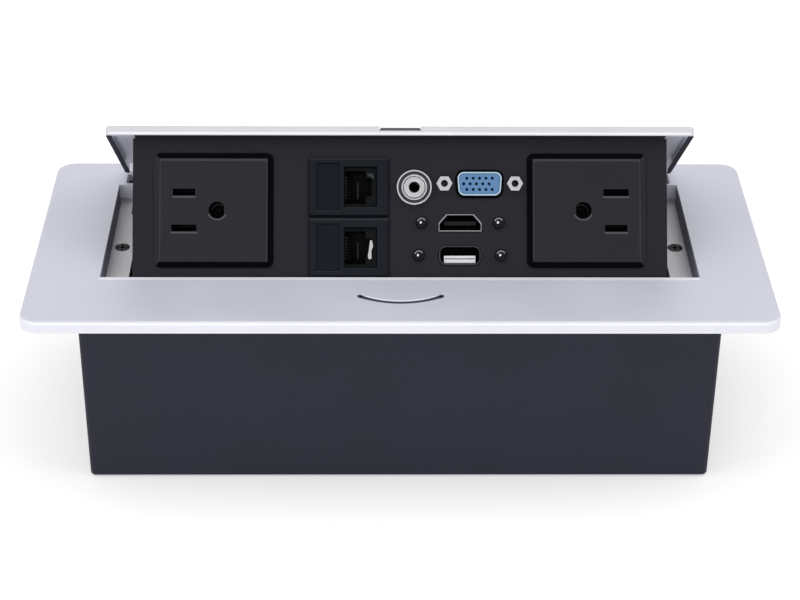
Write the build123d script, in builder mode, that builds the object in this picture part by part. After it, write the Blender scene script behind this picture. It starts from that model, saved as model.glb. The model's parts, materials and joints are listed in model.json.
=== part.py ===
from build123d import *
import os
from math import atan2, cos, degrees, radians, sin, tan

# Pop-up desk socket, drawn with its lid open, in millimetres.
# x runs along the box, y from front to back, z up from the underside of the box.

os.makedirs("parts", exist_ok=True)

# General clearances and one overrun for cuts
fit_gap = 0.2
seat_gap = 0.3
overrun = 2.0

# Bezel: the plate on the desk top, its margins round the opening, and its hinge slots
flange_thick = 4.4
flange_corner = 6.5
flange_edge = 1.2
side_margin = 25.0
front_margin = 29.5
rear_margin = 17.5
lip_face = 1.4
lip_undercut = 3.0
land_margin = 0.6
land_drop = 0.5
collar_wall = 2.0
collar_drop = 1.5
slot_wall = 1.2
slot_relief_depth = 2.2
slot_relief_length = 4.0
groove_length = 28.6
groove_sag = 4.3
groove_width = 0.9
groove_depth = 0.6
groove_offset = 12.6

# Box hanging in the desk
box_wall = 1.2
box_corner = 2.0
box_side_outset = 6.5
box_front_inset = 11.5
box_rear_inset = 4.5
tab_width = 17.0
desk_hole_radius = 2.1
desk_hole_spacing = 50.0
desk_hole_drop = 29.0

# Hinge
open_angle = 41.5
hinge_behind = 7.0
hinge_drop = 15.0
pin_radius = 2.0
pin_play = 0.05
pin_head_radius = 3.5
pin_head_thick = 1.2
pin_reach = 14.6
bush_wall = 0.8
bush_flange_radius = 3.8
bush_flange_thick = 0.6
arm_side_gap = 5.6
arm_thick = 1.8
arm_boss_radius = 4.2
arm_cover_gap = 1.5
arm_rear_reach = 14.0
arm_strap = 3.4
arm_tab_thick = 2.0

# Lid
lid_front_gap = 0.5
lid_rear_gap = 0.8
lid_side_gap = 2.0
lid_thick = 3.3
lid_skin = 1.6
lid_rim = 2.0
lid_bevel = 5.4
lid_tail = 23.7
lid_corner = 1.5
lid_edge = 0.4
lid_feather = 0.15
notch_length = 14.6
notch_depth = 1.6
notch_reach = 4.5
flange_pad_inset = 0.7
flange_pad_back = 20.0
arm_pad_margin = 1.8
arm_tab_reach = 12.6

# Hinge brackets: the ledges beside the panel
ledge_gap = 2.9
ledge_drop = 8.3
bracket_thick = 2.0
bracket_front_reach = 6.0
notch_clear = 1.0
web_thick = 2.0
web_front_reach = 13.0
web_lower = 8.0
boss_length = 8.0
boss_shares = (0.12, 0.86)

# Screws
ledge_screw_share = 0.515
ledge_screw_inset = 4.4
screw_radius = 1.5
screw_head_radius = 2.8
screw_head_height = 1.7
screw_length = 7.0
pan_head_radius = 2.6
pan_head_height = 1.8
lid_screw_cover = 1.2
lid_screw_shares = (0.32, 0.88)
lid_screw_place = 12.0
arm_screw_shares = (0.25, 0.75)
cover_screw_radius = 1.2
cover_head_radius = 2.2
cover_head_height = 1.0
cover_screw_length = 3.6
cover_screw_shares = (0.3, 0.74)
cover_screw_depth = 10.0
recess_share = 0.62
recess_width_share = 0.2
recess_depth_share = 0.5
head_draft = 14.0

# Socket panel, hung from the lid
lid_overhang = 4.0
panel_lean = 6.4
panel_side_gap = 11.3
panel_sheet = 1.5
return_depth = 16.0
top_flange_depth = 14.0

# Back cover of the panel
cover_wall = 1.2
terminal_gap = 2.8
cover_drop = 3.9
cable_hole_radius = 6.0
cable_hole_share = 0.43

# Power outlets
outlet_margin = 7.6
outlet_head = 5.6
outlet_foot = 7.8
outlet_length = 42.2
outlet_height = 40.6
outlet_proud = 1.8
outlet_bevel = 2.0
outlet_bevel_drop = 1.2
outlet_corner = 2.4
plug_inset = 2.6
plug_depth = 3.0
body_inset = 3.4
body_depth = 18.0
blade_offset = 10.4
blade_spacing = 12.7
blade_gap = 2.4
line_length = 7.9
neutral_length = 8.9
earth_offset = 1.3
earth_radius = 3.0
earth_flat = 2.5
pocket_depth = 13.0
pocket_gap = 0.3
contact_setback = 4.5
clip_width = 7.6
clip_height = 3.6
clip_slit = 1.6
clip_web = 1.5
earth_sleeve_radius = 2.5
earth_sleeve_wall = 0.7

# Data modules
data_gap = 12.3
data_head = 7.05
data_foot = 4.25
data_seam = 0.3
data_length = 28.8
data_proud = 1.4
data_bevel = 0.8
window_offset = 4.1
window_length = 11.7
window_rail = 3.45
label_offset = -7.4
label_length = 8.2
label_rail = 2.2
label_depth = 0.4
data_plug_inset = 1.2
data_plug_depth = 3.0
jack_setback = 1.2
jack_length = 14.0
jack_rail = 2.1
jack_depth = 22.0
cavity_offset = 2.3
cavity_length = 7.2
cavity_rail = 1.25
cavity_depth = 12.0
latch_slot_length = 2.2
latch_slot_share = 0.5424
wire_count = 8
wire_span_share = 0.6915
wire_size = 0.4
wire_reach = 8.0
wire_root = 1.2
wire_lean = 2.2

# Video socket (15-way)
video_step = 23.15
video_margin = 1.4
video_drop_share = 0.3037
video_length = 16.0
video_height = 8.4
video_taper = 0.6
video_round = 2.3
video_wall = 0.55
video_proud = 1.3
video_cut_gap = 0.9
video_flange_length = 30.8
video_flange_height = 12.4
video_flange_thick = 0.8
video_insert_setback = 0.3
video_pin_radius = 0.55
video_pin_pitch = 2.25
video_row_pitch = 2.0
video_row_shift_share = 0.5
video_pin_depth = 3.0
video_row_pins = 5
video_body_depth = 9.0
nut_spacing = 24.99
nut_across = 5.0
nut_height = 2.2
nut_bore = 1.1
nut_bore_depth = 5.0
stud_radius = 1.45
stud_length = 6.0

# Digital video socket
digital_offset = -6.9
digital_drop_share = 0.55926
digital_length = 15.4
digital_height = 6.25
digital_chamfer_x = 2.7
digital_chamfer_y = 3.1
digital_wall = 0.45
digital_proud = 0.3
digital_depth = 10.0
digital_tongue_length = 11.4
digital_tongue_height = 1.5
digital_tongue_reach = 7.5
digital_screw_half = 13.65

# USB socket
usb_offset = -7.0
usb_drop_share = 0.77407
usb_length = 14.8
usb_height = 6.9
usb_round = 2.6
usb_wall = 0.45
usb_proud = 0.3
usb_depth = 11.4
usb_tongue_length = 11.2
usb_tongue_height = 2.7
usb_tongue_drop = 1.35
usb_tongue_reach = 9.9
usb_screw_half = 14.55

# Port bodies behind the panel and their button-head screws
port_block_margin = 3.0
port_ear_length = 34.0
port_ear_height = 8.4
port_ear_thick = 1.6
port_body_depth = 6.0
port_head_radius = 2.2
port_head_height = 1.5
port_shank_radius = 1.2
port_shank_length = 5.0

# Audio jack
audio_step = 8.75
audio_drop_share = 0.32778
audio_nut_radius = 6.2
audio_nut_height = 1.6
audio_groove_outer = 5.5
audio_groove_inner = 4.7
audio_groove_depth = 0.8
audio_bush_radius = 3.95
audio_bush_proud = 2.2
audio_dish = 0.5
audio_bore = 1.8
audio_bore_depth = 12.0
audio_body_size = 11.0
audio_body_depth = 13.0

# Terminal block inside the back cover
terminal_length = 34.0
terminal_height = 14.0
terminal_depth = 9.0
terminal_drop_share = 0.537
terminal_ways = 3
terminal_pitch = 11.0
terminal_hole_radius = 2.6

# Torsion springs
spring_radius = 3.4
spring_wire = 0.5
spring_full_turns = 7
spring_pitch = 1.35
spring_reach = 11.6
spring_wall_leg = 14.0
spring_arm_leg = 16.5
spring_arm_leg_rise = 20.0

# Damper on the right-hand hinge axis
damper_radius = 4.4
damper_length = 7.0
damper_ear_reach = 9.0
damper_ear_half = 3.0
damper_ear_thick = 1.5
damper_screw_radius = 1.0
damper_screw_head = 1.8

# Push latch on the box floor
latch_height = 14.7456
latch_travel = 3.0
latch_base_length = 30.0
latch_base_width = 15.0
latch_base_thick = 1.5
latch_screw_half = 11.0
latch_tower = 13.0
latch_tower_clear = 0.3
latch_lip = 1.5
latch_floor = 0.8
latch_wall = 1.9
latch_plunger_radius = 3.5
latch_plunger_play = 0.08
latch_collar = 0.8
latch_collar_height = 1.2
latch_air = 0.4
latch_spring_radius = 2.4
latch_spring_wire = 0.25
latch_spring_turns = 4
magnet_height = 2.0
magnet_inset = 0.5
striker_length = 16.0
striker_width = 10.0
striker_thick = 1.2
striker_setback = 3.0

# Cable inlets and earth stud
grommet_share = 0.5333
grommet_height = 24.0
grommet_bore = 6.0
grommet_hole = 8.0
grommet_flange = 10.0
grommet_lip = 1.6
earth_stud_inset = 29.3
earth_stud_share = 0.866
earth_stud_radius = 2.0
earth_stud_length = 12.0
earth_flange_radius = 4.5
earth_flange_thick = 1.0
earth_nut_across = 7.0
earth_nut_thick = 3.2

# Places along x: the sockets set the panel, the panel sets the opening, the opening the rest
sides = {"left": -1, "right": 1}
video_reach = video_step + video_flange_length / 2 + video_margin
panel_middle = data_gap + data_length + audio_step + video_reach
data_x = -panel_middle / 2 + data_gap + data_length / 2
audio_x = data_x + data_length / 2 + audio_step
video_x = audio_x + video_step
digital_x = video_x + digital_offset
usb_x = video_x + usb_offset
window_x = data_x + window_offset
label_x = data_x + label_offset
cavity_x = data_x + cavity_offset
outlet_x = (panel_middle + outlet_length) / 2
panel_half = panel_middle / 2 + outlet_length + outlet_margin
opening_half = panel_half + panel_side_gap
opening_length = 2 * opening_half
flange_length = opening_length + 2 * side_margin
box_half = opening_half + box_side_outset
inner_half = box_half - box_wall
ledge_inner_half = panel_half + ledge_gap
bracket_half = inner_half - seat_gap
ledge_mid_half = (ledge_inner_half + bracket_half) / 2
boss_half = (opening_half + bracket_half) / 2
ledge_screw_half = ledge_inner_half + ledge_screw_inset
arm_outer_half = opening_half - arm_side_gap
arm_inner_half = arm_outer_half - arm_thick
arm_tab_inner = arm_inner_half - arm_tab_reach
arm_tab_half = (arm_tab_inner + arm_outer_half) / 2
arm_pad_inner = arm_tab_inner - arm_pad_margin
arm_pad_outer = arm_outer_half + arm_pad_margin
pin_inner_half = arm_inner_half - pin_reach
spring_inner_half = arm_inner_half - spring_reach
web_inner_half = arm_outer_half + bush_flange_thick + fit_gap
web_outer_half = web_inner_half + web_thick
lid_screw_halves = [panel_half * share for share in lid_screw_shares]
cable_hole_half = panel_half * cable_hole_share
grommet_x_half = box_half * grommet_share
earth_stud_x = earth_stud_inset - inner_half

# Places down the panel: the outlets set its height, and its height the rows of sockets
panel_height = outlet_head + outlet_height + outlet_foot
outlet_drop = outlet_head + outlet_height / 2
data_height = (panel_height - data_head - data_seam - data_foot) / 2
data_drops = {
    "upper": data_head + data_height / 2,
    "lower": data_head + data_height + data_seam + data_height / 2,
}
window_height = data_height - 2 * window_rail
label_height = data_height - 2 * label_rail
jack_height = data_height - 2 * jack_rail
cavity_height = window_height - 2 * cavity_rail
latch_slot_height = cavity_height * latch_slot_share
wire_pitch = cavity_height * wire_span_share / wire_count
video_drop = panel_height * video_drop_share
digital_drop = panel_height * digital_drop_share
usb_drop = panel_height * usb_drop_share
audio_drop = panel_height * audio_drop_share
terminal_drop = panel_height * terminal_drop_share
cover_screw_drops = [panel_height * share for share in cover_screw_shares]

# Places along y: the socket bodies set the cover's depth, the cover the lid and the opening
cover_depth = plug_depth + jack_depth + terminal_gap + terminal_depth + cover_wall
lid_width = lid_overhang + cover_depth + lid_tail
opening_width = lid_front_gap + lid_width + lid_rear_gap
flange_width = front_margin + opening_width + rear_margin
open_front = -flange_width / 2 + front_margin
open_rear = open_front + opening_width
open_mid = (open_front + open_rear) / 2
box_front = -flange_width / 2 + box_front_inset
box_rear = flange_width / 2 - box_rear_inset
box_mid = (box_front + box_rear) / 2
boss_places = [open_front + share * opening_width for share in boss_shares]
bracket_front = open_front - bracket_front_reach
bracket_back = box_rear - box_wall - 2 * seat_gap
bracket_mid = (bracket_front + bracket_back) / 2
ledge_screw_y = open_front + ledge_screw_share * opening_width
earth_stud_y = open_front + earth_stud_share * opening_width
arm_front_reach = lid_tail + lid_rear_gap + hinge_behind - arm_cover_gap
arm_tab_length = arm_front_reach - arm_rear_reach
arm_screw_places = [-arm_front_reach + share * arm_tab_length for share in arm_screw_shares]
notch_y = open_rear + hinge_behind - arm_rear_reach - notch_clear

# Holes and rings
pin_hole = pin_radius + pin_play
bush_radius = pin_hole + bush_wall
bush_hole = bush_radius + pin_play
screw_hole = screw_radius + pin_play
cover_screw_hole = cover_screw_radius + pin_play


def shut_place(up, out):
    """y, and z from the plate's top, with the lid shut, of a point up and out of the panel"""
    lean = radians(panel_lean)
    y = open_front + lid_front_gap + lid_overhang - out * cos(lean) - up * sin(lean)
    z = -lid_thick - out * sin(lean) + up * cos(lean)
    return y, z


# Heights: the latch under the shut panel sets how deep the box is
striker_middle = striker_setback + striker_width / 2
latch_y = shut_place(-panel_height - striker_thick, -striker_middle)[0]
striker_low = shut_place(-panel_height - striker_thick, latch_plunger_radius - striker_middle)[1]
box_height = box_wall + latch_height + latch_air - striker_low
plate_top = box_height
plate_under = plate_top - flange_thick
land_under = plate_under - land_drop
collar_under = plate_under - collar_drop
ledge_top = plate_top - ledge_drop
bracket_under = ledge_top - bracket_thick

# Hinge axis and the swung frame of the pop-up unit
pivot_y = open_rear + hinge_behind
pivot_z = plate_top - hinge_drop
swing = radians(open_angle)
lid_back = Vector(0, cos(swing), -sin(swing))
lid_up = Vector(0, sin(swing), cos(swing))
pivot = Vector(0, pivot_y, pivot_z)
lid_front = open_front + lid_front_gap - pivot_y
lid_length = opening_length - 2 * lid_side_gap
lid_half = lid_length / 2
lid_under = hinge_drop - lid_thick
lid_plane = Plane(origin=pivot + lid_back * lid_front + lid_up * hinge_drop, x_dir=(1, 0, 0), z_dir=lid_up)
hinge_side = Plane(origin=pivot, x_dir=lid_back, z_dir=(1, 0, 0))

# The socket panel's frame: x along it, y up it, z out of its face
tilt = radians(open_angle - panel_lean)
panel_out = Vector(0, -cos(tilt), sin(tilt))
panel_origin = lid_plane.from_local_coords(Vector(0, lid_overhang, -lid_thick))
panel_plane = Plane(origin=panel_origin, x_dir=(1, 0, 0), z_dir=panel_out)
panel_axis = Axis(panel_origin, panel_out)


def front_edges(piece, axis):
    """Edges of the face that lies furthest along an axis"""
    return piece.faces().sort_by(axis)[-1].edges()


def coil_path(radius, pitch, turns, pieces_per_turn=3):
    """Points and tangents of a helix about z, from its start to its end"""
    count = round(turns * pieces_per_turn)
    step = radians(360 * turns / count)
    slope = pitch / radians(360)
    places = []
    for index in range(count + 1):
        angle = index * step
        place = Vector(radius * cos(angle), radius * sin(angle), slope * index * step)
        tangent = Vector(-radius * sin(angle), radius * cos(angle), slope).normalized()
        places.append((place, tangent))
    return places


def biarc_joint(start, start_tangent, end, end_tangent):
    """Where two arcs meet, and their tangent there"""
    chord = end - start
    both = start_tangent + end_tangent
    square = 2 * (1 - start_tangent.dot(end_tangent))
    linear = chord.dot(both)
    reach = (-linear + (linear**2 + square * chord.dot(chord)) ** 0.5) / square
    first = start + start_tangent * reach
    last = end - end_tangent * reach
    return (first + last) * 0.5, (last - first).normalized()


def coil_arcs(places):
    """Two tangent arcs for each piece of a helix; call it inside a BuildLine"""
    for (start, start_tangent), (end, end_tangent) in zip(places, places[1:]):
        middle, middle_tangent = biarc_joint(start, start_tangent, end, end_tangent)
        TangentArc(start, middle, tangent=start_tangent)
        TangentArc(middle, end, tangent=middle_tangent)


# Bezel
def slot_rectangle(side, inner_half, outer_half, front, back):
    """Plan of one hinge slot; call it inside a BuildSketch"""
    with Locations((side * (inner_half + outer_half) / 2, (front + back) / 2)):
        Rectangle(outer_half - inner_half, back - front)


slot_inner_half = arm_inner_half - lid_side_gap
slot_mouth_half = arm_outer_half + bush_flange_thick
slot_outer_half = web_outer_half + seat_gap
slot_back = box_rear - box_wall

with BuildPart() as bezel:
    with BuildSketch(Plane.XY.offset(plate_under)):
        RectangleRounded(flange_length, flange_width, flange_corner)
    extrude(amount=flange_thick)
    fillet(front_edges(bezel, Axis.Z), flange_edge)
    with BuildSketch(Plane.XY.offset(land_under)):
        with Locations((0, box_mid)):
            RectangleRounded(
                2 * (box_half + land_margin),
                box_rear - box_front + 2 * land_margin,
                box_corner + land_margin,
            )
    extrude(amount=flange_thick)
    with BuildSketch(Plane.XY.offset(collar_under)):
        with Locations((0, open_front)):
            Rectangle(
                opening_length + 2 * collar_wall,
                opening_width + collar_wall,
                align=(Align.CENTER, Align.MIN),
            )
    extrude(amount=flange_thick)
    with BuildSketch(Plane.XY.offset(ledge_top)):
        for side in sides.values():
            for place in boss_places:
                with Locations((side * boss_half, place)):
                    Rectangle(bracket_half - opening_half, boss_length)
    extrude(amount=flange_thick)
    with BuildSketch(Plane.XY.offset(plate_top)):
        with Locations((0, open_mid)):
            Rectangle(opening_length, opening_width)
    extrude(amount=-(ledge_drop + overrun), mode=Mode.SUBTRACT)
    with BuildSketch(Plane.XY.offset(plate_top)):
        for side in sides.values():
            slot_rectangle(side, slot_inner_half, slot_mouth_half, open_rear - overrun, slot_back)
            slot_rectangle(side, slot_inner_half, slot_outer_half, open_rear + slot_wall, slot_back)
    extrude(amount=-(ledge_drop + overrun), mode=Mode.SUBTRACT)
    with BuildSketch(Plane.XY.offset(plate_top)):
        for side in sides.values():
            slot_rectangle(
                side, slot_inner_half, slot_outer_half, slot_back - overrun, slot_back + slot_relief_length
            )
    extrude(amount=-slot_relief_depth, mode=Mode.SUBTRACT)
    with BuildSketch(Plane.YZ.offset(-opening_half)):
        with BuildLine():
            Polyline(
                (open_front + overrun, plate_top - lip_face + overrun),
                (open_front - lip_undercut - overrun, plate_under - overrun),
                (open_front + overrun, plate_under - overrun),
                close=True,
            )
        make_face()
    extrude(amount=opening_length, mode=Mode.SUBTRACT)
    with BuildSketch(Plane.XY.offset(plate_top)):
        with BuildLine() as groove_line:
            ThreePointArc(
                (-groove_length / 2, open_front - groove_offset),
                (0, open_front - groove_offset - groove_sag),
                (groove_length / 2, open_front - groove_offset),
            )
        SlotArc(groove_line.edges()[0], groove_width)
    extrude(amount=-groove_depth, mode=Mode.SUBTRACT)
    with BuildSketch(Plane.XY.offset(ledge_top)):
        for side in sides.values():
            for place in boss_places:
                with Locations((side * boss_half, place)):
                    Circle(screw_hole)
    extrude(amount=flange_thick + collar_drop, mode=Mode.SUBTRACT)
bezel.part.label = "bezel"
export_step(bezel.part, "parts/bezel.step")


# Box shell with the tabs that its ledge screws pass through
with BuildPart() as box_shell:
    with BuildSketch(Plane.XY):
        with Locations((0, box_mid)):
            RectangleRounded(2 * box_half, box_rear - box_front, box_corner)
    extrude(amount=land_under)
    fillet(box_shell.faces().sort_by(Axis.Z)[0].edges(), box_wall)
    with BuildSketch(Plane.XY.offset(box_wall)):
        with Locations((0, box_mid)):
            RectangleRounded(2 * inner_half, box_rear - box_front - 2 * box_wall, box_corner - box_wall)
    extrude(amount=plate_under, mode=Mode.SUBTRACT)
    with BuildSketch(Plane.XY.offset(bracket_under - box_wall)):
        for side in sides.values():
            with Locations((side * (ledge_inner_half + box_half) / 2, ledge_screw_y)):
                Rectangle(box_half - ledge_inner_half - 2 * fit_gap, tab_width)
    extrude(amount=box_wall)
    with BuildSketch(Plane.XY.offset(bracket_under)):
        for side in sides.values():
            with Locations((side * ledge_screw_half, ledge_screw_y)):
                Circle(screw_hole)
    extrude(amount=-2 * box_wall, mode=Mode.SUBTRACT)
    with BuildSketch(Plane.XY.offset(box_wall)):
        for side in sides.values():
            with Locations((side * latch_screw_half, latch_y)):
                Circle(cover_screw_hole)
    extrude(amount=-2 * box_wall, mode=Mode.SUBTRACT)
    with BuildSketch(Plane.XZ.offset(-box_rear)):
        for side in sides.values():
            with Locations((side * grommet_x_half, grommet_height)):
                Circle(grommet_hole)
    extrude(amount=2 * box_wall, both=True, mode=Mode.SUBTRACT)
    with BuildSketch(Plane.YZ):
        for step in sides.values():
            with Locations((box_mid + step * desk_hole_spacing / 2, plate_top - desk_hole_drop)):
                Circle(desk_hole_radius)
    extrude(amount=box_half + overrun, both=True, mode=Mode.SUBTRACT)
box_shell.part.label = "box_shell"
export_step(box_shell.part, "parts/box_shell.step")


# Hinge brackets
def axle_plane(half):
    """Plane square to the hinge axis at a place along x"""
    return Plane(origin=(half, pivot_y, pivot_z), x_dir=(0, 1, 0), z_dir=(1, 0, 0))


def build_bracket(name, side, hinge_hole, damper_side):
    """Ledge beside the panel with the web that carries the hinge"""
    with BuildPart() as bracket:
        with BuildSketch(Plane.XY.offset(bracket_under)):
            with Locations((side * ledge_mid_half, bracket_mid)):
                Rectangle(bracket_half - ledge_inner_half, bracket_back - bracket_front)
            with Locations((side * ledge_inner_half, bracket_back)):
                Rectangle(
                    2 * (web_inner_half - ledge_inner_half),
                    2 * (bracket_back - notch_y),
                    mode=Mode.SUBTRACT,
                )
        extrude(amount=bracket_thick)
        with BuildSketch(axle_plane(side * web_inner_half)):
            with BuildLine():
                Polyline(
                    (-web_front_reach, ledge_top - pivot_z),
                    (-web_front_reach, -web_lower / 2),
                    (-web_front_reach + web_lower / 2, -web_lower),
                    (bracket_back - pivot_y, -web_lower),
                    (bracket_back - pivot_y, ledge_top - pivot_z),
                    close=True,
                )
            make_face()
            Circle(hinge_hole, mode=Mode.SUBTRACT)
            if damper_side:
                with Locations((-damper_ear_reach, 0)):
                    Circle(damper_screw_radius + pin_play, mode=Mode.SUBTRACT)
        extrude(amount=side * web_thick)
        with BuildSketch(Plane.XY.offset(ledge_top)):
            for place in boss_places:
                with Locations((side * boss_half, place)):
                    Circle(screw_hole)
            with Locations((side * ledge_screw_half, ledge_screw_y)):
                Circle(screw_hole)
        extrude(amount=-bracket_thick, mode=Mode.SUBTRACT)
        with BuildSketch(Plane.XY.offset(ledge_top)):
            with Locations((side * ledge_screw_half, ledge_screw_y)):
                Circle(screw_head_radius + pin_play)
        extrude(amount=-screw_head_height, taper=sink_angle, mode=Mode.SUBTRACT)
    bracket.part.label = name
    export_step(bracket.part, f"parts/{name}.step")


sink_angle = degrees(atan2(screw_head_radius - screw_radius, screw_head_height))
build_bracket("hinge_bracket_left", -1, pin_hole, False)
build_bracket("hinge_bracket_right", 1, bush_hole, True)


# Screws: each seat is a plane under a head, facing out of it
def build_screws(name, seats, head, height, shank, length, sunk=False):
    """Screws with a cross recess, all of one kind, each on its own seat"""
    with BuildPart() as screws:
        for seat in seats:
            with BuildSketch(seat):
                Circle(shank)
            extrude(amount=-length)
            with BuildSketch(seat):
                Circle(head)
            if sunk:
                extrude(amount=-height, taper=degrees(atan2(head - shank, height)))
            else:
                extrude(amount=height, taper=head_draft)
            with BuildSketch(seat if sunk else seat.offset(height)):
                for turn in (0, 90):
                    Rectangle(2 * head * recess_share, head * recess_width_share, rotation=turn)
            extrude(amount=-height * recess_depth_share, mode=Mode.SUBTRACT)
    screws.part.label = name
    export_step(screws.part, f"parts/{name}.step")


ledge_seats = [
    Plane(origin=(side * ledge_screw_half, ledge_screw_y, ledge_top)) for side in sides.values()
]
build_screws(
    "ledge_screws", ledge_seats, screw_head_radius, screw_head_height, screw_radius, screw_length, sunk=True
)
bracket_seats = [
    Plane(origin=(side * boss_half, place, bracket_under), z_dir=(0, 0, -1))
    for side in sides.values()
    for place in boss_places
]
build_screws("bracket_screws", bracket_seats, pan_head_radius, pan_head_height, screw_radius, screw_length)


# Hinge pin, bushes and damper
with BuildPart() as hinge_pin_left:
    with BuildSketch(axle_plane(-pin_inner_half)):
        Circle(pin_radius)
    extrude(amount=pin_inner_half - web_outer_half)
    with BuildSketch(axle_plane(-web_outer_half)):
        Circle(pin_head_radius)
    extrude(amount=-pin_head_thick)
hinge_pin_left.part.label = "hinge_pin_left"
export_step(hinge_pin_left.part, "parts/hinge_pin_left.step")


def build_bush(name, sleeve_start, sleeve_end, flange_start):
    """Flanged bush; its flange runs outward from its own start"""
    side = 1 if sleeve_end > 0 else -1
    with BuildPart() as bush:
        with BuildSketch(axle_plane(sleeve_start)):
            Circle(bush_radius)
        extrude(amount=sleeve_end - sleeve_start)
        with BuildSketch(axle_plane(flange_start)):
            Circle(bush_flange_radius)
        extrude(amount=side * bush_flange_thick)
        with BuildSketch(axle_plane(sleeve_start - side * overrun)):
            Circle(pin_hole)
        extrude(amount=side * (web_outer_half - arm_inner_half + 2 * overrun), mode=Mode.SUBTRACT)
    bush.part.label = name
    export_step(bush.part, f"parts/{name}.step")


build_bush("hinge_bush_left", -arm_inner_half, -arm_outer_half, -arm_outer_half)
build_bush("hinge_bush_right", web_inner_half, web_outer_half, web_inner_half - bush_flange_thick)

with BuildPart() as damper_shaft:
    with BuildSketch(axle_plane(pin_inner_half)):
        Circle(pin_radius)
    extrude(amount=web_outer_half + damper_length - pin_inner_half - seat_gap)
damper_shaft.part.label = "damper_shaft"
export_step(damper_shaft.part, "parts/damper_shaft.step")

with BuildPart() as damper_body:
    with BuildSketch(axle_plane(web_outer_half)):
        Circle(damper_radius)
    extrude(amount=damper_length)
    with BuildSketch(axle_plane(web_outer_half)):
        with Locations((-damper_ear_reach / 2, 0)):
            Rectangle(damper_ear_reach, 2 * damper_ear_half)
        with Locations((-damper_ear_reach, 0)):
            Circle(damper_ear_half)
    extrude(amount=damper_ear_thick)
    with BuildSketch(axle_plane(web_outer_half)):
        Circle(pin_hole)
        with Locations((-damper_ear_reach, 0)):
            Circle(damper_screw_radius + pin_play)
    extrude(amount=damper_length - fit_gap, mode=Mode.SUBTRACT)
damper_body.part.label = "damper_body"
export_step(damper_body.part, "parts/damper_body.step")
damper_seat = Plane(
    origin=(web_outer_half + damper_ear_thick, pivot_y - damper_ear_reach, pivot_z), z_dir=(1, 0, 0)
)
build_screws(
    "damper_screw",
    [damper_seat],
    damper_screw_head,
    damper_screw_radius,
    damper_screw_radius,
    damper_ear_thick + web_thick,
)


# Torsion springs on the hinge axis, drawn as they stand with the lid open
def build_torsion_spring(name, side):
    """Coil with one leg down the rear wall and one under the arm"""
    leg_angle = 90 - spring_arm_leg_rise - open_angle
    turns = spring_full_turns + leg_angle / 360
    along = Vector(side, 0, 0)
    start = Vector(side * spring_inner_half, pivot_y, pivot_z)
    across = Vector(0, 1, 0)
    rise = Vector(0, 0, 1)
    places = []
    for local, aim in coil_path(spring_radius, spring_pitch, turns):
        place = start + across * local.X + rise * local.Y + along * local.Z
        places.append((place, across * aim.X + rise * aim.Y + along * aim.Z))
    first, first_aim = places[0]
    last, last_aim = places[-1]
    with BuildPart() as spring:
        with BuildLine() as route:
            Line(first - first_aim * spring_wall_leg, first)
            coil_arcs(places)
            Line(last, last + last_aim * spring_arm_leg)
        foot = first - first_aim * spring_wall_leg
        with BuildSketch(Plane(origin=foot, z_dir=first_aim)):
            Circle(spring_wire)
        sweep(path=route.wire())
    spring.part.label = name
    export_step(spring.part, f"parts/{name}.step")


for name, side in sides.items():
    build_torsion_spring(f"torsion_spring_{name}", side)

# Push latch: body on the floor, sprung plunger and magnet tip
latch_tip = box_wall + latch_height
latch_base = box_wall
tower_top = latch_tip - latch_travel - latch_tower_clear
plunger_hole = latch_plunger_radius + latch_plunger_play
collar_radius = latch_plunger_radius + latch_collar
collar_top = tower_top - latch_lip - latch_plunger_play
plunger_under = collar_top - latch_collar_height

with BuildPart() as latch_body:
    with BuildSketch(Plane.XY.offset(latch_base)):
        with Locations((0, latch_y)):
            RectangleRounded(latch_base_length, latch_base_width, latch_wall)
    extrude(amount=latch_base_thick)
    with BuildSketch(Plane.XY.offset(latch_base)):
        with Locations((0, latch_y)):
            RectangleRounded(latch_tower, latch_tower, latch_wall)
    extrude(amount=tower_top - latch_base)
    with BuildSketch(Plane.XY.offset(latch_base + latch_floor)):
        with Locations((0, latch_y)):
            Circle(collar_radius + latch_plunger_play)
    extrude(amount=tower_top - latch_lip - latch_base - latch_floor, mode=Mode.SUBTRACT)
    with BuildSketch(Plane.XY.offset(tower_top)):
        with Locations((0, latch_y)):
            Circle(plunger_hole)
    extrude(amount=-2 * latch_lip, mode=Mode.SUBTRACT)
    with BuildSketch(Plane.XY.offset(latch_base)):
        for side in sides.values():
            with Locations((side * latch_screw_half, latch_y)):
                Circle(cover_screw_hole)
    extrude(amount=latch_base_thick, mode=Mode.SUBTRACT)
latch_body.part.label = "latch_body"
export_step(latch_body.part, "parts/latch_body.step")

with BuildPart() as latch_plunger:
    with BuildSketch(Plane.XY.offset(plunger_under)):
        with Locations((0, latch_y)):
            Circle(collar_radius)
    extrude(amount=latch_collar_height)
    with BuildSketch(Plane.XY.offset(plunger_under)):
        with Locations((0, latch_y)):
            Circle(latch_plunger_radius)
    extrude(amount=latch_tip - magnet_height - plunger_under)
latch_plunger.part.label = "latch_plunger"
export_step(latch_plunger.part, "parts/latch_plunger.step")

with BuildPart() as latch_magnet:
    with BuildSketch(Plane.XY.offset(latch_tip - magnet_height)):
        with Locations((0, latch_y)):
            Circle(latch_plunger_radius)
    extrude(amount=magnet_height)
    chamfer(front_edges(latch_magnet, Axis.Z), magnet_inset)
latch_magnet.part.label = "latch_magnet"
export_step(latch_magnet.part, "parts/latch_magnet.step")

spring_foot = latch_base + latch_floor + latch_spring_wire
spring_rise = plunger_under - latch_spring_wire - spring_foot
with BuildPart() as latch_spring:
    coil = coil_path(latch_spring_radius, spring_rise / latch_spring_turns, latch_spring_turns)
    base = Vector(0, latch_y, spring_foot)
    with BuildLine() as spring_route:
        coil_arcs([(base + place, aim) for place, aim in coil])
    with BuildSketch(Plane(origin=base + coil[0][0], z_dir=coil[0][1])):
        Circle(latch_spring_wire)
    sweep(path=spring_route.wire())
latch_spring.part.label = "latch_spring"
export_step(latch_spring.part, "parts/latch_spring.step")

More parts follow.
